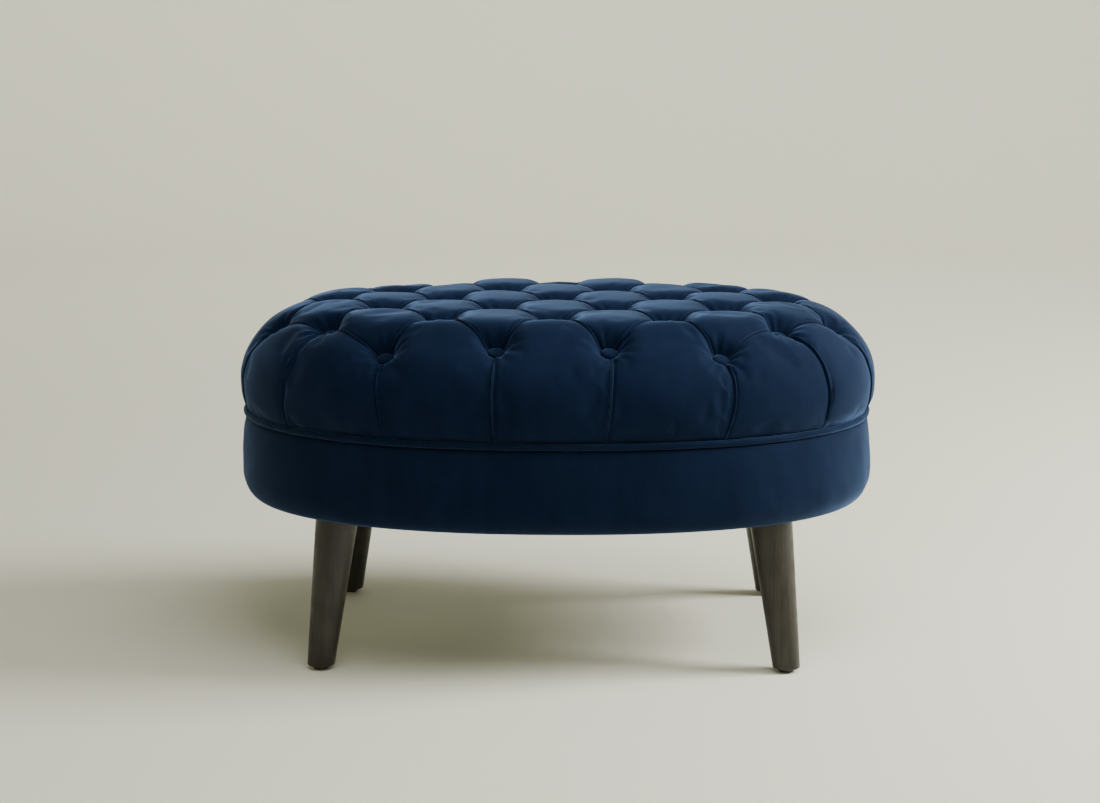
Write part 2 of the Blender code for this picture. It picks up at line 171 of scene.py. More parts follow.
# ====================================================================================================
# Shader helpers
# ====================================================================================================
class Graph:
    """A thin helper that adds and links shader nodes in one tree."""

    def __init__(self, tree: bpy.types.NodeTree) -> None:
        """Work on a node tree."""
        self.tree = tree

    def add(self, kind: str, **values: object) -> bpy.types.Node:
        """Add a node and set its inputs by name, or its properties.

        Args:
            kind: The node's type name without the ShaderNode start.
            values: Input sockets (spaces as underscores), or properties of the node.

        Returns:
            The node.
        """
        node = self.tree.nodes.new(kind if kind.startswith("Node") else "ShaderNode" + kind)
        for key, value in values.items():
            if hasattr(node, key):
                setattr(node, key, value)
                continue
            socket = node.inputs[int(key[1:])] if key[0] == "i" and key[1:].isdigit() else node.inputs[key.replace("_", " ")]
            if isinstance(value, bpy.types.NodeSocket):
                self.tree.links.new(value, socket)
            else:
                socket.default_value = value
        return node

    def math(self, operation: str, a: object, b: object = 0.0, c: object = 0.0) -> bpy.types.NodeSocket:
        """A Math node's value for up to three inputs."""
        return self.add("Math", operation=operation, i0=a, i1=b, i2=c).outputs[0]

    def ramp(self, factor: bpy.types.NodeSocket, low: float, high: float, out_low: float = 0.0, out_high: float = 1.0) -> bpy.types.NodeSocket:
        """Rescale a value smoothly from one range to another, clamped."""
        node = self.add("MapRange", interpolation_type="SMOOTHSTEP", Value=factor)
        for key, value in (("From Min", low), ("From Max", high), ("To Min", out_low), ("To Max", out_high)):
            node.inputs[key].default_value = value
        return node.outputs[0]

    def mix(self, factor: object, a: object, b: object) -> bpy.types.NodeSocket:
        """Mix two colours by a factor."""
        node = self.add("Mix", data_type="RGBA")
        for index, value in ((0, factor), (6, a), (7, b)):
            if isinstance(value, bpy.types.NodeSocket):
                self.tree.links.new(value, node.inputs[index])
            else:
                node.inputs[index].default_value = value if index == 0 else (*value, 1.0)
        return node.outputs[2]


def new_group(name: str, inputs: dict[str, tuple[str, object]], outputs: dict[str, str]) -> tuple[bpy.types.NodeTree, Graph]:
    """Make a shader node group with named sockets.

    Args:
        name: The group's name.
        inputs: Socket name to (socket kind, starting value).
        outputs: Socket name to socket kind.

    Returns:
        The group and a helper for it.
    """
    group = bpy.data.node_groups.new(name, "ShaderNodeTree")
    for label, (kind, value) in inputs.items():
        socket = group.interface.new_socket(name=label, in_out="INPUT", socket_type="NodeSocket" + kind)
        socket.default_value = value
    for label, kind in outputs.items():
        group.interface.new_socket(name=label, in_out="OUTPUT", socket_type="NodeSocket" + kind)
    return group, Graph(group)


def object_place(graph: Graph) -> bpy.types.NodeSocket:
    """The place on the piece, in metres."""
    return graph.add("TexCoord").outputs["Object"]


def pile_group() -> bpy.types.NodeTree:
    """Velvet pile: patches brushed different ways, soft streaks, and the fine pile itself.

    The shade is a broad noise (hand marks) plus a stretched one (brushing), each around one half.
    The height is a fine noise at the pile's own scale plus a little of a coarser weave.
    """
    group, g = new_group(
        "velvet_pile",
        {"Pile": ("Float", 1.0), "Patches": ("Float", 1.0), "Dark": ("Color", (0, 0, 0, 1)), "Light": ("Color", (1, 1, 1, 1))},
        {"Color": "Color", "Shade": "Float", "Height": "Float"},
    )
    into, out = group.nodes.new("NodeGroupInput"), group.nodes.new("NodeGroupOutput")
    place = object_place(g)
    marks = g.add("TexNoise", Vector=place, Scale=9.0, Detail=4.0, Roughness=0.55, Distortion=0.6).outputs[0]
    stretched = g.add("Mapping", Vector=place, Scale=(60.0, 60.0, 9.0)).outputs[0]
    brushed = g.add("TexNoise", Vector=stretched, Scale=1.0, Detail=3.0, Roughness=0.6).outputs[0]
    fine = g.add("TexNoise", Vector=place, Scale=1500.0, Detail=2.0, Roughness=0.6).outputs[0]
    weave = g.add("TexNoise", Vector=place, Scale=420.0, Detail=2.0, Roughness=0.5).outputs[0]
    broad = g.math("MULTIPLY", g.math("SUBTRACT", marks, 0.5), into.outputs["Patches"])
    streak = g.math("MULTIPLY", g.math("SUBTRACT", brushed, 0.5), 0.30)
    speck = g.math("MULTIPLY", g.math("SUBTRACT", fine, 0.5), 0.35)
    shade = g.math("ADD", g.math("ADD", broad, streak), g.math("ADD", speck, 0.5))
    height = g.math("MULTIPLY", g.math("ADD", fine, g.math("MULTIPLY", weave, 0.6)), into.outputs["Pile"])
    tree = group.links
    mixer = g.add("Mix", data_type="RGBA")
    tree.new(g.ramp(shade, 0.1, 0.9), mixer.inputs[0])
    tree.new(into.outputs["Dark"], mixer.inputs[6])
    tree.new(into.outputs["Light"], mixer.inputs[7])
    tree.new(mixer.outputs[2], out.inputs["Color"])
    tree.new(shade, out.inputs["Shade"])
    tree.new(height, out.inputs["Height"])
    return group


def grain_group() -> bpy.types.NodeTree:
    """Wood grain along Z: wavy growth rings seen side on, fine pores, and slow colour drift."""
    group, g = new_group(
        "wood_grain",
        {"Along": ("Float", 1.0), "Across": ("Float", 1.0), "Offset": ("Vector", (0.0, 0.0, 0.0))},
        {"Grain": "Float", "Pores": "Float", "Height": "Float"},
    )
    into, out = group.nodes.new("NodeGroupInput"), group.nodes.new("NodeGroupOutput")
    moved = g.add("VectorMath", operation="ADD", i0=object_place(g), i1=into.outputs["Offset"]).outputs[0]
    scale = g.add("CombineXYZ", X=into.outputs["Across"], Y=into.outputs["Across"], Z=into.outputs["Along"]).outputs[0]
    stretched = g.add("VectorMath", operation="MULTIPLY", i0=moved, i1=scale).outputs[0]
    rings = g.add("TexNoise", Vector=stretched, Scale=1.0, Detail=6.0, Roughness=0.62, Distortion=0.8).outputs[0]
    finer = g.add("VectorMath", operation="MULTIPLY", i0=stretched, i1=(7.0, 7.0, 2.2)).outputs[0]
    pores = g.add("TexNoise", Vector=finer, Scale=1.0, Detail=3.0, Roughness=0.7).outputs[0]
    dark = g.ramp(pores, 0.52, 0.72)
    height = g.math("SUBTRACT", rings, g.math("MULTIPLY", dark, 0.5))
    group.links.new(rings, out.inputs["Grain"])
    group.links.new(dark, out.inputs["Pores"])
    group.links.new(height, out.inputs["Height"])
    return group


def handling_group() -> bpy.types.NodeTree:
    """Dust and handling: a broad uneven mask and a fine speckle, for roughness."""
    group, g = new_group("handling", {"Size": ("Float", 30.0)}, {"Mask": "Float", "Speckle": "Float"})
    into, out = group.nodes.new("NodeGroupInput"), group.nodes.new("NodeGroupOutput")
    place = object_place(g)
    broad = g.add("TexNoise", Vector=place, Detail=5.0, Roughness=0.6, Scale=into.outputs["Size"]).outputs[0]
    fine = g.add("TexNoise", Vector=place, Scale=900.0, Detail=2.0).outputs[0]
    group.links.new(g.ramp(broad, 0.35, 0.7), out.inputs["Mask"])
    group.links.new(fine, out.inputs["Speckle"])
    return group


GROUPS = {"pile": pile_group(), "grain": grain_group(), "handling": handling_group()}


def new_material(name: str) -> tuple[bpy.types.Material, Graph, bpy.types.Node]:
    """A material with its helper and its Principled shader."""
    made = bpy.data.materials.new(name)
    made.use_nodes = True
    return made, Graph(made.node_tree), made.node_tree.nodes["Principled BSDF"]


def use_group(graph: Graph, key: str, **values: object) -> bpy.types.Node:
    """Place one of the shared groups in a material, with its own values."""
    node = graph.tree.nodes.new("ShaderNodeGroup")
    node.node_tree = GROUPS[key]
    for label, value in values.items():
        node.inputs[label].default_value = value
    return node


def raise_surface(graph: Graph, shader: bpy.types.Node, height: bpy.types.NodeSocket, depth: float, strength: float) -> None:
    """Feed a height to the shader's normal through a Bump node."""
    bump = graph.add("Bump", Height=height, Distance=depth, Strength=strength)
    graph.tree.links.new(bump.outputs[0], shader.inputs["Normal"])


@dataclass(frozen=True)
class Velvet:
    """Cut velvet: dark where it is seen and lit straight on, bright at a glancing angle."""

    name: str
    dark: tuple[float, float, float] = (0.0020, 0.0050, 0.0150)
    light: tuple[float, float, float] = (0.0053, 0.0120, 0.0362)
    sheen: float = 0.37
    sheen_tint: tuple[float, float, float] = (0.27, 0.47, 0.95)
    sheen_roughness: float = 0.38
    patches: float = 0.45

    def build(self) -> bpy.types.Material:
        """Make the material."""
        made, g, shader = new_material(self.name)
        pile = use_group(g, "pile", Pile=1.0, Patches=self.patches, Dark=(*self.dark, 1), Light=(*self.light, 1))
        g.tree.links.new(pile.outputs["Color"], shader.inputs["Base Color"])
        g.tree.links.new(g.ramp(pile.outputs["Shade"], 0.1, 0.9, 0.82, 0.68), shader.inputs["Roughness"])
        shader.inputs["Specular IOR Level"].default_value = 0.07
        shader.inputs["Specular Tint"].default_value = (*self.sheen_tint, 1)
        shader.inputs["Sheen Weight"].default_value = self.sheen
        shader.inputs["Sheen Roughness"].default_value = self.sheen_roughness
        shader.inputs["Sheen Tint"].default_value = (*self.sheen_tint, 1)
        raise_surface(g, shader, pile.outputs["Height"], 0.00025, 0.35)
        return made


@dataclass(frozen=True)
class StainedWood:
    """Dark stained hardwood under satin lacquer."""

    name: str
    dark: tuple[float, float, float] = (0.0047, 0.0036, 0.0023)
    light: tuple[float, float, float] = (0.0215, 0.0170, 0.0108)
    roughness: float = 0.40
    offset: tuple[float, float, float] = (0.0, 0.0, 0.0)
    along: float = 9.0
    across: float = 170.0

    def build(self) -> bpy.types.Material:
        """Make the material."""
        made, g, shader = new_material(self.name)
        grain = use_group(g, "grain", Along=self.along, Across=self.across, Offset=self.offset)
        worn = use_group(g, "handling", Size=26.0)
        tone = g.ramp(grain.outputs["Grain"], 0.32, 0.70)
        colour = g.mix(tone, self.dark, self.light)
        pored = g.mix(g.math("MULTIPLY", grain.outputs["Pores"], 0.55), colour, tuple(c * 0.35 for c in self.dark))
        g.tree.links.new(pored, shader.inputs["Base Color"])
        low, high = self.roughness - 0.05, self.roughness + 0.14
        rough = g.ramp(worn.outputs["Mask"], 0.0, 1.0, low, high)
        g.tree.links.new(rough, shader.inputs["Roughness"])
        raise_surface(g, shader, grain.outputs["Height"], 0.0004, 0.30)
        return made


@dataclass(frozen=True)
class Plywood:
    """Sanded plywood: pale plies that lie level, with a drifting grain."""

    name: str
    pale: tuple[float, float, float] = (0.60, 0.43, 0.26)
    brown: tuple[float, float, float] = (0.36, 0.22, 0.11)
    ply: float = 0.0026

    def build(self) -> bpy.types.Material:
        """Make the material."""
        made, g, shader = new_material(self.name)
        place = g.add("SeparateXYZ", Vector=object_place(g))
        layer = g.math("SINE", g.math("MULTIPLY", place.outputs[2], TURN / (2 * self.ply)))
        stretched = g.add("Mapping", Vector=object_place(g), Scale=(12.0, 140.0, 140.0)).outputs[0]
        grain = g.add("TexNoise", Vector=stretched, Scale=1.0, Detail=5.0, Roughness=0.6).outputs[0]
        tone = g.math("ADD", g.math("MULTIPLY", g.ramp(layer, -0.3, 0.3), 0.35), g.math("MULTIPLY", grain, 0.65))
        g.tree.links.new(g.mix(g.ramp(tone, 0.2, 0.8), self.brown, self.pale), shader.inputs["Base Color"])
        g.tree.links.new(g.ramp(grain, 0.3, 0.7, 0.6, 0.8), shader.inputs["Roughness"])
        raise_surface(g, shader, grain, 0.0002, 0.3)
        return made


@dataclass(frozen=True)
class Cambric:
    """Black non-woven cambric: flecked fibres and pressed dots."""

    name: str
    dark: tuple[float, float, float] = (0.007, 0.007, 0.0075)
    light: tuple[float, float, float] = (0.026, 0.026, 0.028)

    def build(self) -> bpy.types.Material:
        """Make the material."""
        made, g, shader = new_material(self.name)
        place = object_place(g)
        dots = g.add("TexVoronoi", Vector=place, Scale=520.0, Randomness=0.25).outputs[0]
        fibre = g.add("TexNoise", Vector=place, Scale=650.0, Detail=5.0, Roughness=0.75, Distortion=1.5).outputs[0]
        cloud = g.add("TexNoise", Vector=place, Scale=14.0, Detail=3.0).outputs[0]
        tone = g.math("ADD", g.math("MULTIPLY", fibre, 0.7), g.math("MULTIPLY", cloud, 0.3))
        g.tree.links.new(g.mix(g.ramp(tone, 0.3, 0.7), self.dark, self.light), shader.inputs["Base Color"])
        g.tree.links.new(g.ramp(fibre, 0.2, 0.8, 0.95, 0.8), shader.inputs["Roughness"])
        shader.inputs["Specular IOR Level"].default_value = 0.25
        raise_surface(g, shader, g.math("ADD", fibre, g.ramp(dots, 0.0, 0.5)), 0.0002, 0.5)
        return made


@dataclass(frozen=True)
class Moulded:
    """Moulded plastic with a fine spark-eroded texture and scuffs."""

    name: str
    colour: tuple[float, float, float] = (0.018, 0.015, 0.012)
    scuffed: tuple[float, float, float] = (0.050, 0.045, 0.040)

    def build(self) -> bpy.types.Material:
        """Make the material."""
        made, g, shader = new_material(self.name)
        worn = use_group(g, "handling", Size=120.0)
        faint = g.math("MULTIPLY", worn.outputs["Mask"], 0.5)
        g.tree.links.new(g.mix(faint, self.colour, self.scuffed), shader.inputs["Base Color"])
        g.tree.links.new(g.ramp(worn.outputs["Mask"], 0.0, 1.0, 0.42, 0.62), shader.inputs["Roughness"])
        raise_surface(g, shader, worn.outputs["Speckle"], 0.0001, 0.3)
        return made


@dataclass(frozen=True)
class Plated:
    """Zinc-plated steel: bright metal with cloudy spangle and fine drawing lines."""

    name: str
    bright: tuple[float, float, float] = (0.62, 0.63, 0.64)
    dull: tuple[float, float, float] = (0.40, 0.41, 0.43)

    def build(self) -> bpy.types.Material:
        """Make the material."""
        made, g, shader = new_material(self.name)
        worn = use_group(g, "handling", Size=220.0)
        g.tree.links.new(g.mix(worn.outputs["Mask"], self.bright, self.dull), shader.inputs["Base Color"])
        g.tree.links.new(g.ramp(worn.outputs["Mask"], 0.0, 1.0, 0.28, 0.48), shader.inputs["Roughness"])
        shader.inputs["Metallic"].default_value = 1.0
        raise_surface(g, shader, worn.outputs["Speckle"], 0.00005, 0.3)
        return made


def dress(piece: bpy.types.Object, finish: bpy.types.Material) -> bpy.types.Object:
    """Give a piece its only material."""
    piece.data.materials.clear()
    piece.data.materials.append(finish)
    return piece


# ====================================================================================================
# The oval and the seat's form
# ====================================================================================================
@dataclass(frozen=True)
class Oval:
    """The plan outline, a superellipse, and the ovals drawn in from it."""

    half_length: float
    half_depth: float
    power: float = 2.26

    def ring(self, turn: np.ndarray, inset: np.ndarray | float) -> np.ndarray:
        """Points (x, y) at the angles turn on the oval drawn in by inset: half size times cos^(2/power)."""
        c, s = np.cos(turn), np.sin(turn)
        x = (self.half_length - inset) * np.sign(c) * np.abs(c) ** (2 / self.power)
        y = (self.half_depth - inset) * np.sign(s) * np.abs(s) ** (2 / self.power)
        return np.stack(np.broadcast_arrays(x, y), -1)

    def even_turns(self, count: int) -> np.ndarray:
        """Angles whose points lie evenly spaced along the outline."""
        fine = np.linspace(0, TURN, 7201)
        points = self.ring(fine, 0.0)
        run = np.concatenate([[0], np.cumsum(np.linalg.norm(np.diff(points, axis=0), axis=1))])
        return np.interp(np.arange(count) / count * run[-1], run, fine)

    def inset_through(self, x: np.ndarray, y: np.ndarray, low: float = 0.0) -> np.ndarray:
        """The inset, from low up, of the oval that passes through each point, found by halving."""
        small, large = np.full(len(x), low), np.full(len(x), self.half_depth * 0.9995)
        for _ in range(36):
            middle = (small + large) / 2
            reach = (np.abs(x) / (self.half_length - middle)) ** self.power
            reach += (np.abs(y) / (self.half_depth - middle)) ** self.power
            inside = reach < 1
            small, large = np.where(inside, middle, small), np.where(inside, large, middle)
        return small

    def turn_of(self, x: np.ndarray, y: np.ndarray, inset: np.ndarray | float) -> np.ndarray:
        """The angle at which the oval drawn in by inset passes through a point."""
        c = np.sign(x) * (np.abs(x) / (self.half_length - inset)) ** (self.power / 2)
        s = np.sign(y) * (np.abs(y) / (self.half_depth - inset)) ** (self.power / 2)
        return np.arctan2(s, c)


@dataclass
class SeatForm:
    """The untufted seat: a dome, a rounded shoulder, and a side that tucks in above the welt.

    It is unrolled onto a flat sheet, on which the shoulder and side lie spread out at their real
    length, so that folds and distances are worked out flat and then wrapped round the form.
    """

    oval: Oval
    widest_z: float
    rise: float = 0.1035
    shoulder: float = 0.140
    dome: float = 0.005
    drop: float = 0.0414
    tuck: float = 0.0112
    steps: int = 1200

    def __post_init__(self) -> None:
        """Tabulate inset and height along the shoulder and side, against length along the cloth."""
        a = np.linspace(-math.pi / 2, math.pi / 2, self.steps)
        reach = np.where(a > 0, self.shoulder, self.tuck)
        inset = reach * (1 - np.cos(a))
        z = self.widest_z + np.where(a > 0, self.rise, self.drop) * np.sin(a)
        z = z + np.where(a > 0, self._dome_at(inset), 0.0)
        length = np.concatenate([[0], np.cumsum(np.hypot(np.diff(inset), np.diff(z)))])
        self.spread = self.shoulder - length[-1] + length
        self.insets, self.heights = inset, z
        self.edge = float(self.spread[0])

    def _dome_at(self, inset: np.ndarray) -> np.ndarray:
        """Extra crown at an inset: a parabola from the widest line to the middle."""
        return self.dome * (1 - (1 - np.clip(inset / self.oval.half_depth, 0, 1)) ** 2)

    def crown_z(self, inset: np.ndarray) -> np.ndarray:
        """Height above an inset: a quarter ellipse over the shoulder, then the dome."""
        run = 1 - np.clip(inset / self.shoulder, 0, 1)
        return self.widest_z + self.rise * np.sqrt(np.maximum(1 - run**2, 0)) + self._dome_at(inset)

    def wrap(self, flat: np.ndarray) -> np.ndarray:
        """Places on the form of points on the flat sheet.

        The oval through a flat point gives a length along the cloth, which gives an inset and a
        height; the point is then scaled from the spread oval to the real one.
        """
        x, y = flat[:, 0], flat[:, 1]
        spread = self.oval.inset_through(x, y, self.edge - 0.02)
        on_top = spread >= self.shoulder
        inset = np.where(on_top, spread, np.interp(spread, self.spread, self.insets))
        z = np.where(on_top, self.crown_z(spread), np.interp(spread, self.spread, self.heights))
        half_x, half_y = self.oval.half_length, self.oval.half_depth
        scale_x = np.where(on_top, 1.0, (half_x - inset) / (half_x - spread))
        scale_y = np.where(on_top, 1.0, (half_y - inset) / (half_y - spread))
        return np.stack([x * scale_x, y * scale_y, z], -1)

    def facing(self, flat: np.ndarray, step: float = 4e-4) -> np.ndarray:
        """Directions that face out of the form at points on the flat sheet, from small differences."""
        sides = [self.wrap(flat + np.array(d) * step) for d in ((1, 0), (-1, 0), (0, 1), (0, -1))]
        out = np.cross(sides[0] - sides[1], sides[2] - sides[3])
        return out / np.linalg.norm(out, axis=1, keepdims=True)

    def unwrap(self, x: np.ndarray, y: np.ndarray) -> np.ndarray:
        """Points on the flat sheet of plan places on the crown."""
        inset = self.oval.inset_through(x, y)
        above = self.insets[self.steps // 2 :], self.spread[self.steps // 2 :]
        spread = np.where(inset >= self.shoulder, inset, np.interp(inset, *above))
        half_x, half_y = self.oval.half_length, self.oval.half_depth
        return np.stack([x * (half_x - spread) / (half_x - inset), y * (half_y - spread) / (half_y - inset)], -1)


@dataclass(frozen=True)
class Seat:
    """Where one button sits: its lattice place, the middle of its back, its axes, its pit's middle on
    the flat sheet and depth, and how its plane slopes against the form there."""

    column: int
    row: int
    node: str
    back: np.ndarray
    axes: np.ndarray
    flat: np.ndarray
    depth: float
    slope: np.ndarray


@dataclass
class Tufting:
    """The lattice of buttons, read from the model, and the folds that join them."""

    form: SeatForm
    border_inset: float = 0.090
    drift: dict[tuple[int, int], float] = field(default_factory=lambda: {(-3, -3): 0.0085, (1, -3): -0.0080, (3, -3): -0.0030})
    seats: dict[tuple[int, int], Seat] = field(default_factory=dict)

    def __post_init__(self) -> None:
        """Read every button's place and direction from its node."""
        names = sorted(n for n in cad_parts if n.startswith("button_"))
        keys = [tuple(int(part[1:]) for part in n.split("_")[1:]) for n in names]
        counts = {row: sum(1 for r, _ in keys if r == row) for row, _ in keys}
        middle = (max(counts) + 1) / 2
        for name, (row, column) in zip(names, keys):
            place = round(2 * (column - 1) - (counts[row] - 1)), round(row - middle)
            self.seats[place] = self._read(name, place)

    def _read(self, name: str, place: tuple[int, int]) -> Seat:
        """Measure one button node: its thin direction is the way it faces.

        Its pit's middle is where the form's own normal passes through the middle of its back.
        """
        co = np.array([v.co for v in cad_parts[name].data.vertices])
        middle = (co.min(0) + co.max(0)) / 2
        _, _, axes = np.linalg.svd(co - co.mean(0))
        out = axes[2] * (1 if axes[2][2] > 0 else -1)
        side = np.cross([0.0, 1.0, 0.0], out)
        side /= np.linalg.norm(side)
        back = middle + out * ((co - middle) @ out).min()
        x, y = back[:2]
        for _ in range(25):
            flat = self.form.unwrap(np.array([x]), np.array([y]))
            top, facing = self.form.wrap(flat)[0], self.form.facing(flat)[0]
            away = back - top
            miss = away - (away @ facing) * facing
            x, y = x + miss[0], y + miss[1]
        step = 1e-3
        ahead = self.form.wrap(flat + np.array([[step, 0.0], [0.0, step]])) - top
        slope = (ahead / step) @ out / (out @ facing)
        return Seat(*place, name, back, np.stack([side, np.cross(out, side), out]), flat[0], float(-away @ facing), slope)

    def inset(self, key: tuple[int, int]) -> float:
        """How far in from the widest line a button lies, on the flat sheet."""
        flat = self.seats[key].flat
        return float(self.form.oval.inset_through(flat[:1], flat[1:2])[0])

    def neighbours(self, key: tuple[int, int]) -> list[tuple[int, int]]:
        """The buttons that a diagonal fold joins to this one."""
        around = [(key[0] + a, key[1] + b) for a in (-1, 1) for b in (-1, 1)]
        return [k for k in around if k in self.seats]

    def cells(self) -> list[tuple[tuple[int, int], ...]]:
        """The diamonds whose four corners are buttons: left, front, right, back."""
        found = []
        for column, row in self.seats:
            corners = (column, row), (column + 1, row - 1), (column + 2, row), (column + 1, row + 1)
            if all(c in self.seats for c in corners):
                found.append(corners)
        return found

    def border(self) -> list[tuple[int, int]]:
        """The outermost buttons, in order round the oval."""
        outer = [k for k in self.seats if self.inset(k) < self.border_inset]
        return sorted(outer, key=lambda k: math.atan2(self.seats[k].flat[1], self.seats[k].flat[0]))

    def border_paths(self) -> list[list[tuple[int, int]]]:
        """Inner edges of the border puffs: from one border button to the next, by the one between them."""
        ring = self.border()
        paths = []
        for first, last in zip(ring, ring[1:] + ring[:1]):
            shared = [k for k in self.neighbours(first) if k in self.neighbours(last)]
            direct = last in self.neighbours(first)
            paths.append([first, last] if direct or not shared else [first, shared[0], last])
        return paths

    def foot(self, key: tuple[int, int]) -> np.ndarray:
        """Where a border button's fold meets the welt, on the flat sheet.

        Along the front and back it falls straight, give or take its drift along X; round the ends it
        follows the oval outwards.
        """
        oval, form = self.form.oval, self.form
        flat = self.seats[key].flat
        spread = oval.inset_through(flat[:1], flat[1:2])[0]
        turn = float(oval.turn_of(flat[0], flat[1], spread))
        outer = oval.ring(np.array([turn]), form.edge)[0]
        if abs(key[1]) < max(r for _, r in self.seats):
            return outer
        real = (oval.half_length - form.tuck) / (oval.half_length - form.edge)
        x = (self.form.wrap(flat[None])[0, 0] + self.drift.get(key, 0.0)) / real
        y = (1 - (abs(x) / (oval.half_length - form.edge)) ** oval.power) ** (1 / oval.power)
        return np.array([x, math.copysign(y * (oval.half_depth - form.edge), flat[1])])


# ====================================================================================================
# Seat cover
# ====================================================================================================
@dataclass(frozen=True)
class ClothRun:
    """A short cloth simulation of a stuffed cover, held at its buttons and seams and pushed from inside."""

    frames: int = 14
    pressure: float = 0.6
    slack: float = 0.009
    bending: float = 0.8
    cap: float = 0.0020

    def settle(self, name: str, points: np.ndarray, faces: np.ndarray, hold: np.ndarray) -> np.ndarray:
        """Let a sheet settle, and measure how far each point moved.

        The slack is extra cloth as a share of its length. A movement m longer than the cap is eased to
        cap * tanh(m / cap).

        Args:
            name: The sheet's name while it lasts.
            points: Places of the sheet's points.
            faces: Its quads.
            hold: How firmly each point is held, from 0 to 1.
        """
        sheet = add_mesh(name, points, [faces])
        count = len(sheet.data.polygons)
        middle, facing = np.empty(count * 3, np.float32), np.empty(count * 3, np.float32)
        sheet.data.polygons.foreach_get("center", middle)
        sheet.data.polygons.foreach_get("normal", facing)
        middle = middle.reshape(-1, 3)
        if ((middle - middle.mean(0)) * facing.reshape(-1, 3)).sum() < 0:
            sheet.data.flip_normals()
        held = sheet.vertex_groups.new(name="held")
        for level in range(1, 11):
            held.add(np.flatnonzero(np.round(hold * 10) == level).tolist(), level / 10, "REPLACE")
        settings = sheet.modifiers.new("cloth", "CLOTH").settings
        settings.vertex_group_mass = "held"
        settings.quality, settings.mass = 6, 0.25
        settings.tension_stiffness, settings.compression_stiffness = 20.0, 12.0
        settings.shear_stiffness, settings.bending_stiffness = 6.0, self.bending
        settings.shrink_min = -self.slack
        settings.use_pressure, settings.uniform_pressure_force = True, self.pressure
        settings.effector_weights.gravity = 0.0
        for number in range(1, self.frames + 1):
            bpy.context.scene.frame_set(number)
        settled = sheet.evaluated_get(bpy.context.evaluated_depsgraph_get()).data
        place = np.empty(len(points) * 3, np.float32)
        settled.vertices.foreach_get("co", place)
        bpy.context.scene.frame_set(1)
        bpy.data.objects.remove(sheet)
        move = place.reshape(-1, 3) - points
        length = np.linalg.norm(move, axis=1, keepdims=True) + 1e-9
        LOG.info("%s settled: mean %.2f mm, most %.2f mm", name, length.mean() * 1000, length.max() * 1000)
        return move * (self.cap * np.tanh(length / self.cap) / length)


def spread_rows(values: np.ndarray, old: np.ndarray, new: np.ndarray) -> np.ndarray:
    """Values known at the rows old, blended linearly to the rows new."""
    before = np.clip(np.searchsorted(old, new) - 1, 0, len(old) - 2)
    share = ((new - old[before]) / (old[before + 1] - old[before]))[:, None, None]
    return values[before] * (1 - share) + values[before + 1] * share


@dataclass(frozen=True)
class Survey:
    """Where flat points lie among the folds and buttons.

    near is a soft distance to the folds and own their depth there; first is the closest fold,
    with the signed distance from it and the share of the way along it; rho and ray are the
    distance and direction from the closest button.
    """

    near: np.ndarray
    own: np.ndarray
    first: np.ndarray
    signed: np.ndarray
    share: np.ndarray
    closest: np.ndarray
    rho: np.ndarray
    ray: np.ndarray


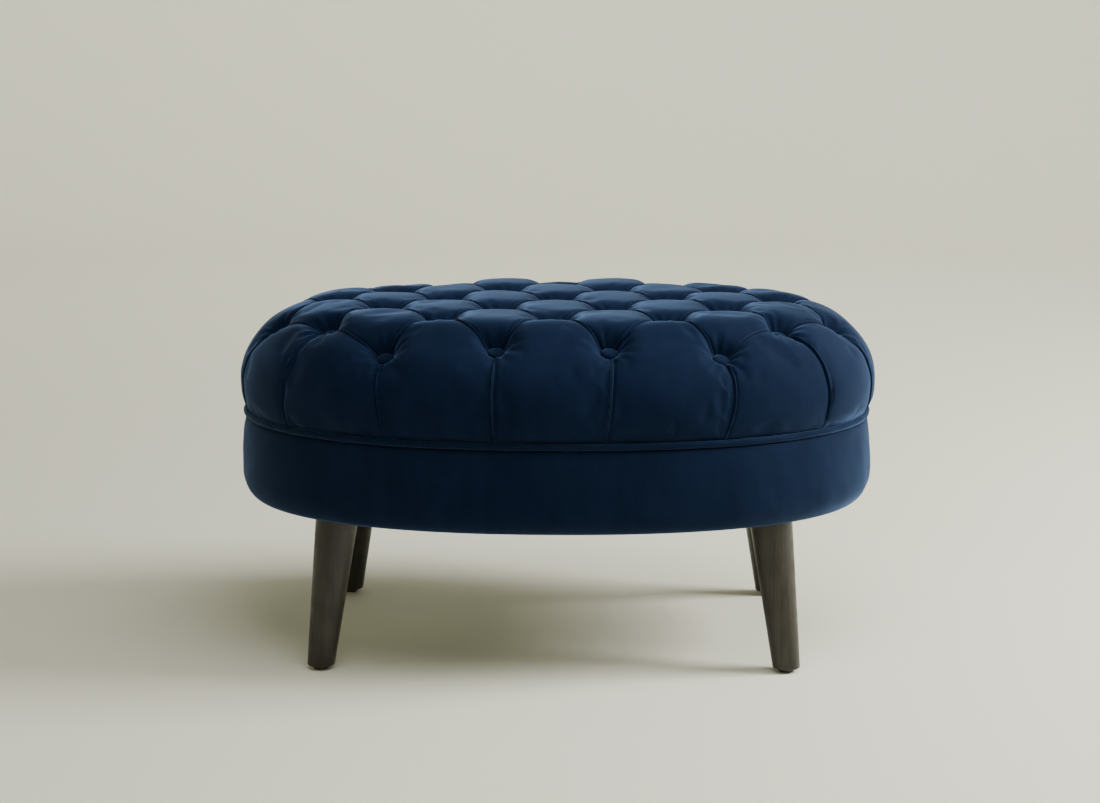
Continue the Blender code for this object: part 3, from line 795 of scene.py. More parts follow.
@dataclass
class SeatCover:
    """The tufted velvet seat: puffs, pits, folded pleats and soft wrinkles, as one closed pad."""

    tufting: Tufting
    deck_z: float
    run: ClothRun = ClothRun()
    puff_reach: float = 0.058
    puff_power: float = 3.0
    fold_depth: float = 0.0022
    back_depth: float = 0.0030
    side_depth: float = 0.0012
    pit_reach: float = 0.058
    pit_flat: float = 0.0100
    lap_groove: float = 0.0026
    lap_lip: float = 0.0019
    lap_width: float = 0.0034
    side_lip: float = 1.3
    corner_lap: float = 0.0100
    gather: float = 0.0009
    front_swell: float = 0.0070
    swells: tuple[tuple[float, float, float, float, float], ...] = (
        (0.40, 0.00, 0.09, 0.14, 0.0022),
        (-0.42, -0.02, 0.10, 0.14, -0.0010),
        (-0.25, 0.20, 0.10, 0.08, -0.0042),
    )
    bows: tuple[tuple[int, int, float], ...] = ((3, -3, 0.0050), (1, -3, 0.0010), (-3, -3, -0.0015), (4, -2, 0.003), (-4, -2, -0.003))
    cell_steps: tuple[float, ...] = (
        0.0, 0.45, 0.95, 1.5, 2.1, 2.8, 3.7, 4.8, 6.2, 8.0, 10.2, 12.9, 16.1, 19.8, 24.0, 28.7, 33.8, 39.3, 45.0, 51.0, 57.0,
    )  # fmt: skip
    side_rows: int = 64
    hem: tuple[tuple[float, float], ...] = (
        (0.0124, -0.0006), (0.0146, -0.0050), (0.0161, -0.0050), (0.0163, 0.0006), (0.060, 0.0006), (0.200, 0.0006),
    )  # fmt: skip

    def graded(self) -> np.ndarray:
        """Shares from 0 to 1 along a cell's edge: close together at the folds, wide in the middle."""
        half = np.array(self.cell_steps) / (2 * self.cell_steps[-1])
        return np.concatenate([half, 1 - half[-2::-1]])

    def outward(self) -> np.ndarray:
        """Shares from a border puff's inner edge to the welt: close together at first."""
        close = np.array(self.cell_steps[:11]) / 190.0
        return np.concatenate([close, np.linspace(close[-1], 1.0, self.side_rows)[1:]])

    def cell_grid(self, corners: tuple[tuple[int, int], ...], shares: np.ndarray) -> np.ndarray:
        """Flat points of a diamond: its corners blended in both directions."""
        left, front, right, back = (self.tufting.seats[c].flat for c in corners)
        p, q = np.meshgrid(shares, shares, indexing="ij")
        p, q = p[..., None], q[..., None]
        return (1 - p) * (1 - q) * left + p * (1 - q) * front + p * q * right + (1 - p) * q * back

    def border_grid(self, path: list[tuple[int, int]], shares: np.ndarray, outward: np.ndarray) -> np.ndarray:
        """Flat points of a border puff: straight lines from its inner edge out to the welt."""
        form, oval = self.tufting.form, self.tufting.form.oval
        corners = [self.tufting.seats[k].flat for k in path]
        inner, along = [corners[0][None]], [np.zeros(1)]
        for a, b in zip(corners, corners[1:]):
            inner.append(a + (b - a) * shares[1:, None])
            along.append(along[-1][-1] + shares[1:])
        inner = np.concatenate(inner)
        along = np.concatenate(along) / (len(corners) - 1)
        feet = [self.tufting.foot(path[0]), self.tufting.foot(path[-1])]
        ends = [float(oval.turn_of(f[0], f[1], form.edge)) for f in feet]
        ends[1] += TURN if ends[1] < ends[0] else 0.0
        outer = oval.ring(ends[0] + (ends[1] - ends[0]) * along, form.edge)
        outer[0], outer[-1] = feet
        return inner[None] + (outer - inner)[None] * outward[:, None, None]

    def grids(self, shares: np.ndarray, outward: np.ndarray) -> list[np.ndarray]:
        """Flat grids of all the diamonds, then of all the border puffs."""
        cells = [self.cell_grid(corners, shares) for corners in self.tufting.cells()]
        return cells + [self.border_grid(path, shares, outward) for path in self.tufting.border_paths()]

    def join(self, grids: list[np.ndarray]) -> tuple[np.ndarray, np.ndarray, np.ndarray, np.ndarray]:
        """Merge grids along their shared edges.

        Returns:
            The flat points, which of all the grids' points each one is, the quads, and the rim in order.
        """
        faces, rims, offset = [], [], 0
        cells = len(self.tufting.cells())
        for number, grid in enumerate(grids):
            rows, columns = grid.shape[:2]
            faces.append(grid_faces(rows, columns, closed=False, start=offset))
            if number >= cells:
                rims.append(offset + (rows - 1) * columns + np.arange(columns - 1))
            offset += rows * columns
        flat = np.concatenate([g.reshape(-1, 2) for g in grids])
        _, keep, index = np.unique(np.round(flat, 6), axis=0, return_index=True, return_inverse=True)
        index = index.reshape(-1)
        return flat[keep], keep, index[np.concatenate(faces)], index[np.concatenate(rims)]

    def folds(self) -> dict[str, np.ndarray]:
        """Every fold as a straight line on the flat sheet: its ends, depths, bow, and whether it doubles."""
        seats, tufting = self.tufting.seats, self.tufting
        start, end, depth, bow, double = [], [], [], [], []
        bows = {(c, r): amount for c, r, amount in self.bows}
        for key in seats:
            for other in tufting.neighbours(key):
                if other[1] > key[1]:
                    start.append(seats[key].flat)
                    end.append(seats[other].flat)
                    back = float(smoothstep(np.array(seats[key].flat[1]), -0.02, 0.14))
                    depth.append([self.fold_depth + back * self.back_depth] * 2)
                    bow.append(0.0)
                    double.append(0.0)
        for key in tufting.border():
            start.append(seats[key].flat)
            end.append(tufting.foot(key))
            depth.append([self.fold_depth, self.side_depth])
            bow.append(bows.get(key, 0.0))
            double.append(1.0 if abs(seats[key].flat[0]) > 0.27 and abs(key[1]) == 2 else 0.0)
        names = ("start", "end", "depth", "bow", "double")
        return {name: np.array(values) for name, values in zip(names, (start, end, depth, bow, double))}

    def survey(self, flat: np.ndarray, folds: dict[str, np.ndarray]) -> Survey:
        """Measure flat points against all folds and buttons.

        The soft distance is (sum of distance^-5)^(-1/5), and the depth is weighted by distance^-5.
        """
        run = folds["end"] - folds["start"]
        length = np.linalg.norm(run, axis=1)
        away = flat[:, None] - folds["start"][None]
        share = np.clip((away * run).sum(-1) / length**2, 0, 1)
        gap = away - share[..., None] * run
        distance = np.sqrt((gap**2).sum(-1)) + 1e-6
        side = run[:, 0] * away[..., 1] - run[:, 1] * away[..., 0]
        weight = distance**-5.0
        total = weight.sum(1)
        depth = folds["depth"][:, 0] + (folds["depth"][:, 1] - folds["depth"][:, 0]) * share
        rows, first = np.arange(len(flat)), distance.argmin(1)
        signed = np.where(side[rows, first] < 0, -1, 1) * distance[rows, first]
        centres = np.array([s.flat for s in self.tufting.seats.values()])
        rays = flat[:, None] - centres[None]
        rho = np.sqrt((rays**2).sum(-1))
        closest = rho.argmin(1)
        own = (depth * weight).sum(1) / total
        return Survey(total ** (-1 / 5.0), own, first, signed, share[rows, first], closest, rho[rows, closest], rays[rows, closest])

    def relief(self, at: Survey, folds: dict[str, np.ndarray]) -> np.ndarray:
        """Depth of the cloth below the form.

        Near a fold the depth is the fold's own, easing to nothing at a puff's middle as
        (1 - distance / reach) ^ power. Near a button the pit's depth falls off the same way, faster
        across a puff than along a fold, so that the puffs stay full. Each fold is a lap: a groove, a
        raised lip beside it, and the lip's own shallow heel. Gathers fan out from the buttons.
        """
        seats = list(self.tufting.seats.values())
        pit = np.array([s.depth for s in seats])[at.closest] - self.fold_depth
        depth = at.own * (1 - np.clip(at.near / self.puff_reach, 0, 1)) ** self.puff_power
        fullness = 2.2 + 3.0 * np.clip(at.near / np.maximum(at.rho, 1e-5), 0, 0.72)
        run_out = np.clip((at.rho - self.pit_flat) / (self.pit_reach - self.pit_flat), 0, 1)
        depth += pit * (1 - run_out) ** fullness
        slope = np.array([s.slope for s in seats])[at.closest]
        depth += (slope * at.ray).sum(-1) * (1 - smoothstep(at.rho, 0.009, 0.030))

        clear = smoothstep(at.rho, 0.011, 0.019)
        length = np.linalg.norm(folds["end"] - folds["start"], axis=1)[at.first]
        wander = at.signed + 0.0003 * np.sin(at.share * length * 95.0 + at.first * 1.7)
        wide = self.lap_width
        groove = self.lap_groove * np.exp(-((wander / 0.0009) ** 2))
        heel = 0.45 * self.lap_groove * np.exp(-(((wander - 1.55 * wide) / 0.0012) ** 2))
        lip = self.lap_lip * np.exp(-(((wander - 0.62 * wide) / (0.42 * wide)) ** 4))
        is_side = at.first >= len(folds["start"]) - len(self.tufting.border())
        fade = np.where(is_side, 1 - 0.15 * smoothstep(at.share, 0.25, 0.9), 1.0)
        fuller = np.where(is_side, self.side_lip, 1.0)
        depth += (groove + heel - lip * fuller) * fade * clear
        bulge = self.corner_lap * np.sin(math.pi * at.share)
        second = 0.0019 * np.exp(-(((wander - bulge) / 0.0016) ** 2)) - 0.0012 * np.exp(-(((wander - 0.55 * bulge) / 0.004) ** 2))
        depth += second * folds["double"][at.first] * smoothstep(at.share, 0.12, 0.35)

        turn = np.arctan2(at.ray[:, 1], at.ray[:, 0])
        dice = np.random.default_rng(7)
        phase, around = dice.uniform(0, TURN, len(seats))[at.closest], dice.integers(9, 14, len(seats))[at.closest]
        fan = smoothstep(at.rho, 0.010, 0.016) * (1 - smoothstep(at.rho, 0.020, 0.046))
        depth += self.gather * fan * (np.sin(turn * around + phase) + 0.6 * np.sin(turn * (around + 5) - phase))
        return depth

    def unevenness(self, place: np.ndarray) -> np.ndarray:
        """Slow differences between puffs, faint ripples, and parts stuffed fuller or flatter, in metres.

        Each swell is its middle, its reach along X and Y, and its height: height * exp(-distance^2).
        """
        height = 0.0009 * waves(place, 0.16, 3) + 0.00035 * waves(place, 0.045, 4)
        for x, y, reach_x, reach_y, amount in self.swells:
            height += amount * np.exp(-(((place[:, 0] - x) / reach_x) ** 2) - ((place[:, 1] - y) / reach_y) ** 2)
        return height

    def place(self, flat: np.ndarray) -> tuple[np.ndarray, Survey]:
        """Final places of flat points, before the cloth settles, and their survey.

        The front puffs are stuffed fuller, as a roll along the shoulder that stops short of the buttons.
        """
        form, folds = self.tufting.form, self.folds()
        at = self.survey(flat, folds)
        run = (folds["end"] - folds["start"])[at.first]
        across = np.stack([-run[:, 1], run[:, 0]], -1) / np.linalg.norm(run, axis=1, keepdims=True)
        bend = folds["bow"][at.first] * np.sin(math.pi * at.share) * np.exp(-((at.near / 0.022) ** 2))
        flat = flat + across * bend[:, None]
        on_form, out = form.wrap(flat), form.facing(flat)
        spread = form.oval.inset_through(flat[:, 0], flat[:, 1], form.edge - 0.02)
        depth = self.relief(at, folds) - self.unevenness(on_form)
        roll = np.exp(-(((spread - 0.086) / 0.030) ** 2)) * smoothstep(at.rho, 0.012, 0.036)
        roll *= smoothstep(-flat[:, 1], 0.08, 0.17) * (1 - smoothstep(np.abs(flat[:, 0]), 0.28, 0.36))
        depth -= self.front_swell * roll
        depth *= smoothstep(spread, form.edge - 0.001, form.edge + 0.022) * 0.85 + 0.15
        return on_form - out * depth[:, None], at

    def settled(self, shares: np.ndarray, outward: np.ndarray) -> np.ndarray:
        """Movement of all the fine grids' points when a coarser sheet of the same cover settles."""
        coarse, coarse_out = np.linspace(0, 1, 21), np.linspace(0, 1, 30)
        grids = self.grids(coarse, coarse_out)
        flat, keep, quads, rim = self.join(grids)
        points, at = self.place(flat)
        hold = np.maximum(1 - smoothstep(at.rho, 0.012, 0.024), 0.8 * (1 - smoothstep(at.near, 0.003, 0.012)))
        hold[rim] = 1.0
        move = self.run.settle("seat_sheet", points, quads, hold)
        total = sum(g.shape[0] * g.shape[1] for g in grids)
        everywhere = np.zeros((total, 3))
        _, index = np.unique(np.round(np.concatenate([g.reshape(-1, 2) for g in grids]), 6), axis=0, return_inverse=True)
        everywhere[:] = move[index.reshape(-1)]
        del keep
        fine, offset, cells = [], 0, len(self.tufting.cells())
        for number, grid in enumerate(grids):
            rows, columns = grid.shape[:2]
            values = everywhere[offset : offset + rows * columns].reshape(rows, columns, 3)
            offset += rows * columns
            steps = (columns - 1) // (len(coarse) - 1)
            old = np.concatenate([[0.0], *(k + coarse[1:] for k in range(steps))])
            new = np.concatenate([[0.0], *(k + shares[1:] for k in range(steps))])
            by_rows = (coarse, shares) if number < cells else (coarse_out, outward)
            values = spread_rows(values, *by_rows)
            fine.append(spread_rows(values.transpose(1, 0, 2), old, new).transpose(1, 0, 2).reshape(-1, 3))
        return np.concatenate(fine)

    def build(self) -> bpy.types.Object:
        """Make the whole pad: the tufted face, settled, and a flat underside."""
        form = self.tufting.form
        shares, outward = self.graded(), self.outward()
        flat, keep, quads, rim = self.join(self.grids(shares, outward))
        points, _ = self.place(flat)
        points = points + self.settled(shares, outward)[keep]
        turn = form.oval.turn_of(flat[rim][:, 0], flat[rim][:, 1], form.edge)
        under, strips, count, last = [], [], len(points), rim
        for inset, up in self.hem:
            xy = form.oval.ring(turn, inset)
            under.append(np.column_stack([xy, np.full(len(xy), self.deck_z + up)]))
            new = count + np.arange(len(rim))
            strips.append(np.stack([last, np.roll(last, -1), np.roll(new, -1), new], -1))
            last, count = new, count + len(rim)
        return add_mesh("tufted_seat", np.concatenate([points, *under]), [quads, *strips, last[None]], sharp=75)


@dataclass
class CoveredButtons:
    """Velvet-covered buttons: a low dome whose cloth is drawn in underneath."""

    tufting: Tufting
    radius: float = 0.0116
    height: float = 0.0066
    steps: int = 48

    def build(self) -> list[bpy.types.Object]:
        """Make one button for each seat: a turned profile, pushed about a little by its gathers.

        The profile is a flattened half round; the radius swells by a few small waves under the rim.
        """
        dice = np.random.default_rng(21)
        a = np.concatenate([np.linspace(-0.55, 0.0, 6)[:-1], np.linspace(0.0, 0.5, 14)]) * math.pi
        reach = np.cos(a) ** 0.62
        reach[-1] = 0.02
        lift = np.where(a < 0, 0.30 + 0.30 * np.sin(a) / math.sin(0.55 * math.pi), 0.30 + 0.70 * np.sin(a))
        reach = np.where(a < 0, 1 - 0.16 * (a / a[0]) ** 2, reach)
        turn = np.arange(self.steps) / self.steps * TURN
        pieces = []
        for seat in self.tufting.seats.values():
            phase = dice.uniform(0, TURN, 3)
            ripple = 0.012 * np.sin(11 * turn + phase[0]) * np.clip(-a[:, None] / 1.2, 0, 1)
            ripple = ripple + 0.010 * np.sin(2 * turn + phase[1])
            width = self.radius * reach[:, None] * (1 + ripple)
            tilt = 0.0004 * np.sin(turn + phase[2]) * reach[:, None]
            side, up, out = seat.axes
            grid = seat.back + width[..., None] * (np.cos(turn)[:, None] * side + np.sin(turn)[:, None] * up)
            grid = grid + (self.height * lift[:, None] + tilt)[..., None] * out
            piece = add_grid(f"covered_{seat.node}", grid, caps=True)
            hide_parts(seat.node)
            pieces.append(piece)
        return pieces


# ====================================================================================================
# Base
# ====================================================================================================
@dataclass
class WeltCord:
    """Velvet piping laid round the oval, with its sewn seam underneath."""

    oval: Oval
    inset: float
    z: float
    radius: float
    proud: float = 0.0012
    around: int = 1400
    section: int = 22

    def build(self) -> bpy.types.Object:
        """Make the cord: a circle carried round the oval, pinched a little and drawn in at its seam."""
        turn = self.oval.even_turns(self.around)
        a = np.arange(self.section) / self.section * TURN
        length = np.arange(self.around) / self.around * 2.4
        wobble = 0.00022 * np.sin(length * 61.0) + 0.00016 * np.sin(length * 143.0 + 1.3)
        tug = 0.00007 * np.sin(length * 620.0 + 2.0 * np.sin(length * 37.0))
        seam = np.exp(-(((a - 1.16 * math.pi + math.pi) % TURN - math.pi) / 0.30) ** 2)
        radius = self.radius * (0.96 - 0.08 * seam)[None] + tug[:, None] * (0.4 + 0.6 * np.cos(a))[None]
        inset = self.inset - self.proud - wobble[:, None] + radius * np.cos(a)[None]
        z = self.z + 0.6 * wobble[:, None] + radius * np.sin(a)[None]
        grid = np.concatenate([self.oval.ring(turn[:, None], inset), z[..., None]], -1)
        piece = add_grid("welt_piping", grid, caps=False, loop=True)
        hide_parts("welt_cord")
        return piece


@dataclass
class BandCover:
    """The velvet band: padded over the hoop, soft at its lower edge, its hem turned under."""

    oval: Oval
    top_z: float
    base_z: float
    top_inset: float = 0.0072
    full_inset: float = 0.0012
    edge_in: float = 0.0235
    edge_up: float = 0.036
    roll: float = 0.0028
    hem_inset: float = 0.043
    cloth: float = 0.0018
    around: int = 960

    def profile(self) -> np.ndarray:
        """Outer (inset, z) points from the top edge down and under: a slight bulge, a quarter ellipse that
        rolls just below the base, and the hem that comes back up to it."""
        drop = np.linspace(0, 1, 26)
        z = self.top_z - drop * (self.top_z - self.base_z - self.edge_up)
        fade = (1 - drop) ** 2.6
        inset = self.full_inset + (self.top_inset - self.full_inset) * fade
        a = np.linspace(0, math.pi / 2, 22)[1:]
        edge_inset = self.full_inset + self.edge_in * (1 - np.cos(a))
        edge_z = self.base_z - self.roll + (self.edge_up + self.roll) * (1 - np.sin(a))
        run = np.linspace(0, 1, 10)[1:]
        hem = self.full_inset + self.edge_in + run * (self.hem_inset - self.full_inset - self.edge_in)
        hem_z = self.base_z - self.roll * (1 + np.cos(math.pi * run)) / 2
        fold = np.array([[self.top_inset + 0.0050, self.top_z - 0.0002], [self.top_inset + 0.0014, self.top_z]])
        return np.concatenate([fold, np.stack([inset, z], -1)[1:], np.stack([edge_inset, edge_z], -1), np.stack([hem, hem_z], -1)])

    def build(self) -> bpy.types.Object:
        """Make the band: the profile carried round the oval, with its inside one cloth within."""
        outer = self.profile()
        along = np.gradient(outer, axis=0)
        inward = np.stack([-along[:, 1], along[:, 0]], -1)
        inward /= np.linalg.norm(inward, axis=1, keepdims=True)
        inner = outer + inward * self.cloth
        turn = self.oval.even_turns(self.around)
        rows = []
        for line, depth in ((outer, 1.0), (inner[::-1], 1.0)):
            xy = self.oval.ring(turn[:, None], line[None, :, 0])
            rows.append(np.concatenate([xy, np.broadcast_to(line[None, :, 1:], (*xy.shape[:2], 1))], -1))
        grid = np.concatenate(rows, axis=1)
        middle = smoothstep(grid[..., 2], self.base_z + 0.002, self.base_z + 0.02)
        middle *= 1 - smoothstep(grid[..., 2], self.top_z - 0.02, self.top_z - 0.004)
        flat = grid.reshape(-1, 3)
        swell = (0.0006 * waves(flat, 0.12, 11) + 0.00025 * waves(flat, 0.04, 12)).reshape(middle.shape)
        out = grid[..., :2] / np.linalg.norm(grid[..., :2], axis=-1, keepdims=True)
        grid[..., :2] += out * (swell * middle - 0.0003)[..., None]
        piece = add_grid("band_velvet", grid, caps=False, loop=True)
        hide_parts("band_cover", "band_padding")
        return piece


@dataclass
class DustCover:
    """Black cambric under the base: it sags a little between its edges, and its edge is folded in."""

    oval: Oval
    inset: float
    low_z: float
    high_z: float
    around: int = 300
    rings: int = 46

    def build(self) -> bpy.types.Object:
        """Make the sheet: rings from the folded edge to the middle, sagging as a shallow bowl."""
        turn = self.oval.even_turns(self.around)
        share = np.linspace(0, 1, self.rings)
        inset = self.inset + share * (self.oval.half_depth - self.inset - 0.02)
        thick = 0.0004
        top = self.high_z - 0.0001
        sides = []
        for lift in (0.0, thick):
            xy = self.oval.ring(turn[None], inset[:, None])
            flat = xy.reshape(-1, 2)
            ripple = 0.00022 * waves(flat, 0.09, 31).reshape(xy.shape[:2])
            sag = 0.0006 * np.sin(share * math.pi / 2)[:, None] + ripple * smoothstep(share, 0.02, 0.12)[:, None]
            z = np.clip(top - thick - sag + lift, self.low_z, self.high_z)
            sides.append(np.concatenate([xy, z[..., None]], -1))
        grid = np.concatenate([sides[0][::-1], sides[1]])
        piece = add_grid("cambric_cover", grid, caps=True)
        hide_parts("dust_cover")
        return piece

    def flat_size(self) -> tuple[float, float, float]:
        """Width, length and area of the flat cut, the area by the shoelace sum."""
        edge = self.oval.ring(self.oval.even_turns(2000), self.inset)
        following = np.roll(edge, -1, axis=0)
        area = abs((edge[:, 0] * following[:, 1] - edge[:, 1] * following[:, 0]).sum()) / 2
        width, length = 2 * (self.oval.half_depth - self.inset), 2 * (self.oval.half_length - self.inset)
        return width, length, float(area)


@dataclass
class Staples:
    """Wire staples round the dust cover's edge, each a small bent bar pressed into the cloth."""

    oval: Oval
    inset: float
    z: float
    count: int = 64
    crown: float = 0.0100
    wire: float = 0.0011

    def build(self) -> bpy.types.Object:
        """Make all staples as one piece of separate bars with rounded shoulders."""
        turn = self.oval.even_turns(self.count)
        dice = np.random.default_rng(5)
        place = self.oval.ring(turn, self.inset)
        ahead = self.oval.ring(turn + 0.01, self.inset) - place
        angle = np.arctan2(ahead[:, 1], ahead[:, 0]) + dice.uniform(-0.22, 0.22, self.count)
        along = np.stack([np.cos(angle), np.sin(angle)], -1)
        across = np.stack([-along[:, 1], along[:, 0]], -1)
        line = np.array([[-0.5, 0.9], [-0.5, 0.25], [-0.44, 0.0], [0.44, 0.0], [0.5, 0.25], [0.5, 0.9]])
        square = np.array([[-0.5, 0.0], [-0.35, -0.5], [0.35, -0.5], [0.5, 0.0], [0.35, 0.3], [-0.35, 0.3]])
        bars = line[None, :, None, :1] * self.crown * along[:, None, None]
        bars = bars + square[None, None, :, :1] * self.wire * across[:, None, None] + place[:, None, None]
        z = self.z + line[None, :, None, 1] * self.wire + square[None, None, :, 1] * 0.0005
        grid = np.concatenate([bars, np.broadcast_to(z[..., None], (*bars.shape[:3], 1))], -1)
        count, rows, columns = grid.shape[:3]
        step = np.arange(count)[:, None, None] * rows * columns
        quads = (grid_faces(rows, columns)[None] + step).reshape(-1, 4)
        ends = np.stack([np.arange(columns), (rows - 1) * columns + np.arange(columns)])
        return add_mesh("staples", grid.reshape(-1, 3), [quads, (ends[None] + step).reshape(-1, columns)], sharp=50)


# ====================================================================================================
# Legs
# ====================================================================================================
@dataclass
class Leg:
    """A round tapered leg that leans outwards, eased at its foot, with a tap-in glide under it."""

    corner: str
    steps: int = 96
    ease: float = 0.0022

    def axis(self) -> tuple[np.ndarray, np.ndarray, float, float]:
        """Middle of the foot and of the top, and the radius at each, measured on the model's leg."""
        co = np.array([v.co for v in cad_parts[f"leg_{self.corner}"].data.vertices])
        low, high = co[:, 2].min(), co[:, 2].max()
        ends = []
        for z, reach in ((low, 0.004), (high, 0.001)):
            near = co[np.abs(co[:, 2] - z) < reach]
            middle = (near.min(0) + near.max(0)) / 2
            ends.append((np.array([middle[0], middle[1], z]), np.ptp(near[:, 0]) / 2))
        return ends[0][0], ends[1][0], ends[0][1], ends[1][1]

    def build(self) -> bpy.types.Object:
        """Make the leg: level circles along the leaning axis, with a rounded lower edge."""
        foot, top, foot_radius, top_radius = self.axis()
        height = top[2] - foot[2]
        a = np.linspace(0, math.pi / 2, 8)
        z = np.concatenate([self.ease * (1 - np.cos(a)), np.linspace(self.ease, height, 60)[1:]])
        radius = foot_radius + (top_radius - foot_radius) * z / height
        radius[: len(a)] -= self.ease * (1 - np.sin(a))
        radius = np.concatenate([[radius[0] * 0.35], radius, [0.3 * top_radius]])
        z = np.concatenate([[0.0], z, [height]])
        turn = np.arange(self.steps) / self.steps * TURN
        centre = foot[:2] + (top[:2] - foot[:2]) * (z / height)[:, None]
        circle = np.stack([np.cos(turn), np.sin(turn)], -1)
        xy = centre[:, None] + radius[:, None, None] * circle[None]
        grid = np.concatenate([xy, np.broadcast_to((foot[2] + z)[:, None, None], (*xy.shape[:2], 1))], -1)
        piece = add_grid(f"turned_leg_{self.corner}", grid, caps=True, sharp=50)
        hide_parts(f"leg_{self.corner}")
        return piece

    def build_glide(self) -> bpy.types.Object:
        """Make the glide: a turned disc with rounded rims and a shallow ring on its sole."""
        low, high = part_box(f"glide_{self.corner}")
        middle = (np.array(low) + np.array(high)) / 2
        radius = (high[0] - low[0]) / 2 - 0.0003
        foot, *_ = self.axis()
        height = foot[2] - 0.0002
        profile = np.array(
            [[0.30, 0.06], [0.55, 0.06], [0.62, 0.0], [0.86, 0.0], [0.95, 0.07], [1.0, 0.22], [1.0, 0.80], [0.96, 0.94], [0.90, 1.0], [0.2, 1.0]]
        )
        turn = np.arange(64) / 64 * TURN
        circle = np.stack([np.cos(turn), np.sin(turn)], -1)
        xy = np.array([foot[0], foot[1]]) + radius * profile[:, None, :1] * circle[None]
        grid = np.concatenate([xy, np.broadcast_to((profile[:, 1] * height)[:, None, None], (*xy.shape[:2], 1))], -1)
        piece = add_grid(f"tap_glide_{self.corner}", grid, caps=True, sharp=50)
        del middle
        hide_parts(f"glide_{self.corner}")
        return piece


# ====================================================================================================
# Studio
# ====================================================================================================
@dataclass(frozen=True)
class Lamp:
    """One soft rectangular light."""

    name: str
    place: tuple[float, float, float]
    aim: tuple[float, float, float]
    size: tuple[float, float]
    power: float
    colour: tuple[float, float, float] = (1.0, 1.0, 1.0)


@dataclass
class Studio:
    """A seamless pale floor that rises all round, soft lights, and the camera.

    The far lamps hang behind the object, on an arc from right to left. They face away from it and
    light only the far part of the floor.
    """

    floor: tuple[float, float, float] = (0.805, 0.802, 0.675)
    level_radius: float = 4.4
    rise: float = 1.6
    height: float = 5.0
    camera_place: tuple[float, float, float] = (0.070, -3.511, 0.990)
    camera_down: float = 10.65
    camera_left: float = 1.287
    lens: float = 83.36
    ambient: float = 0.04
    lamps: tuple[Lamp, ...] = (
        Lamp("key", (3.1, -0.1, 2.1), (0.0, 0.0, 0.25), (1.5, 1.5), 214.0, (1.0, 0.985, 0.95)),
        Lamp("top", (0.6, -1.1, 3.1), (0.0, -0.1, 0.0), (2.6, 2.0), 61.0, (1.0, 0.99, 0.97)),
    )
    far_powers: tuple[float, ...] = (86.0, 112.0, 18.0)
    far_radius: float = 2.5
    far_height: float = 3.9
    far_fall: float = 0.50

    def build_floor(self) -> bpy.types.Object:
        """Make the floor as one turned sheet: level, then a quarter circle, then upright.

        Returns:
            The floor.
        """
        rise = np.linspace(0, math.pi / 2, 24)
        radius = np.concatenate([[0.4, 1.2, 2.6], self.level_radius + self.rise * np.sin(rise), [self.level_radius + self.rise]])
        level = np.concatenate([[0.0, 0.0, 0.0], self.rise * (1 - np.cos(rise)), [self.height]])
        turn = np.arange(96) / 96 * TURN
        ring = np.stack([np.cos(turn), np.sin(turn)], -1)
        height = np.broadcast_to(level[:, None, None], (len(level), len(turn), 1))
        grid = np.concatenate([radius[:, None, None] * ring[None], height], -1)
        faces = grid_faces(*grid.shape[:2], closed=True)
        disc = np.arange(len(turn))[None]
        floor = add_mesh("studio_floor", grid.reshape(-1, 3), [faces, disc])
        made, g, shader = new_material("floor_paper")
        worn = use_group(g, "handling", Size=1.2)
        tone = g.mix(g.math("MULTIPLY", worn.outputs["Mask"], 0.25), self.floor, tuple(c * 0.97 for c in self.floor))
        g.tree.links.new(tone, shader.inputs["Base Color"])
        shader.inputs["Roughness"].default_value = 0.9
        floor.data.materials.append(made)
        return floor

    def far_lamps(self) -> list[Lamp]:
        """Work out the far lamps, evenly spread over the half circle behind the object.

        Returns:
            The lamps, the first of them at the right.
        """
        lamps = []
        for number, power in enumerate(self.far_powers):
            turn = (number + 0.5) / len(self.far_powers) * math.pi
            out = Vector((math.cos(turn), math.sin(turn), 0.0))
            place = out * self.far_radius + Vector((0, 0, self.far_height))
            aim = place + out - Vector((0, 0, self.far_fall))
            lamps.append(Lamp(f"far_{number}", tuple(place), tuple(aim), (1.4, 1.4), power, (1.0, 0.99, 0.97)))
        return lamps

    def build_lights(self) -> None:
        """Make the lamps, each turned towards its aim, and an even ambient light."""
        for lamp in (*self.lamps, *self.far_lamps()):
            data = bpy.data.lights.new(lamp.name, "AREA")
            data.shape, data.size, data.size_y = "RECTANGLE", *lamp.size
            data.energy, data.color = lamp.power, lamp.colour
            light = bpy.data.objects.new(lamp.name, data)
            bpy.context.scene.collection.objects.link(light)
            light.location = lamp.place
            light.rotation_euler = (Vector(lamp.aim) - Vector(lamp.place)).to_track_quat("-Z", "Y").to_euler()
        world = bpy.context.scene.world or bpy.data.worlds.new("studio")
        bpy.context.scene.world = world
        world.use_nodes = True
        world.node_tree.nodes["Background"].inputs["Color"].default_value = (1.0, 0.99, 0.96, 1.0)
        world.node_tree.nodes["Background"].inputs["Strength"].default_value = self.ambient

    def build_camera(self) -> None:
        """Make the camera, level across, looking down a little."""
        data = bpy.data.cameras.new("camera")
        data.sensor_fit, data.sensor_width, data.lens = "HORIZONTAL", 36.0, self.lens
        camera = bpy.data.objects.new("camera", data)
        bpy.context.scene.collection.objects.link(camera)
        camera.location = self.camera_place
        camera.rotation_euler = (math.radians(90 - self.camera_down), 0.0, math.radians(self.camera_left))
        bpy.context.scene.camera = camera


class Finish(Enum):
    """The record's slots, and the finish that each takes."""

    VELVET = "velvet"
    STAINED_WOOD = "stained_wood"
    PLYWOOD = "plywood"
    CAMBRIC = "cambric"
    STEEL = "bolt_steel"
    PLASTIC = "glide_plastic"


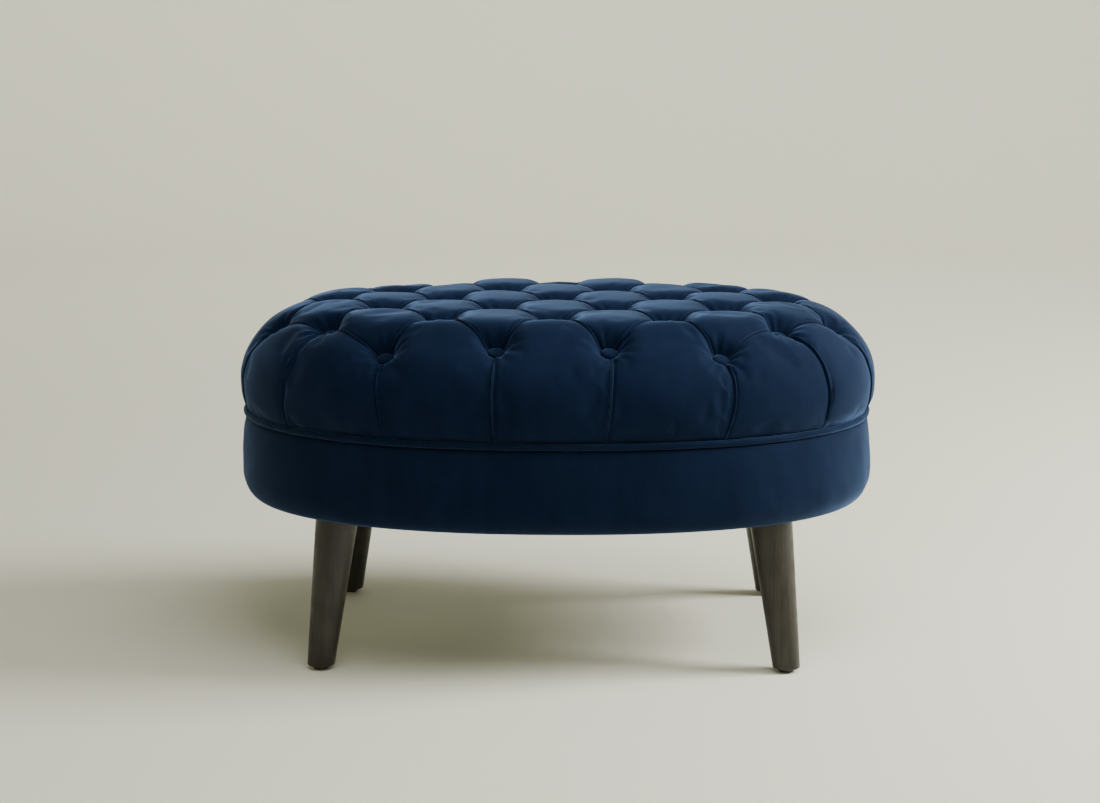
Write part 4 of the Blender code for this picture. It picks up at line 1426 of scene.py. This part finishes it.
def main() -> None:
    """Build every piece in order, dress it, and set up the studio."""
    logging.basicConfig(level=logging.INFO, format="%(name)s: %(message)s", stream=sys.stdout)
    studio = Studio()
    studio.build_camera()
    studio.build_lights()
    studio.build_floor()

    velvet = Velvet("navy_velvet").build()
    steel = Plated("zinc_steel").build()
    plastic = Moulded("glide_plastic_dark").build()
    plywood = Plywood("sanded_plywood").build()

    cover_low, cover_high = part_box("top_cover")
    band_low, band_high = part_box("band_cover")
    welt_low, welt_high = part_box("welt_cord")
    deck_low, deck_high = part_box("deck_board")
    dust_low, dust_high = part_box("dust_cover")
    oval = Oval(cover_high[0], cover_high[1])
    form = SeatForm(oval, widest_z=0.3715)
    tufting = Tufting(form)

    cover = SeatCover(tufting, deck_high[2]).build()
    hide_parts("top_cover", "foam_pad")
    dress(cover, velvet)
    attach(cover, "root")
    LOG.info("seat cover: %d faces", len(cover.data.polygons))

    for button in CoveredButtons(tufting).build():
        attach(dress(button, velvet), "root")
    LOG.info("buttons: %d", len(tufting.seats))

    radius = (welt_high[2] - welt_low[2]) / 2
    welt = WeltCord(oval, cover_high[0] - welt_high[0] + radius, (welt_high[2] + welt_low[2]) / 2, radius).build()
    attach(dress(welt, velvet), "root")
    LOG.info("welt: radius %.1f mm", radius * 1000)

    band = BandCover(oval, band_high[2], band_low[2]).build()
    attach(dress(band, velvet), "root")
    LOG.info("band: %d faces", len(band.data.polygons))

    dust = DustCover(oval, oval.half_length - dust_high[0], dust_low[2], dust_high[2])
    sheet = dust.build()
    width, length, area = dust.flat_size()
    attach(dress(sheet, Cambric("black_cambric").build()), "root")
    staples = Staples(oval, dust.inset + 0.006, dust_low[2] + 0.0003).build()
    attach(dress(staples, steel), "root")
    LOG.info("dust cover: %.3f by %.3f m, %d staples", width, length, 64)

    for number, corner in enumerate(CORNERS):
        leg = Leg(corner)
        wood = StainedWood(f"stained_wood_{corner}", offset=(0.31 * number, 0.17 * number, 0.23 * number)).build()
        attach(dress(leg.build(), wood), "root")
        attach(dress(leg.build_glide(), plastic), "root")
        LOG.info("leg %s", corner)

    for name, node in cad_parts.items():
        if name in ("deck_board", "base_board", "apron_hoop"):
            dress(node, plywood)
        elif name.startswith(("hanger_bolt", "tee_nut")):
            dress(node, steel)


if __name__ == "__main__":
    main()
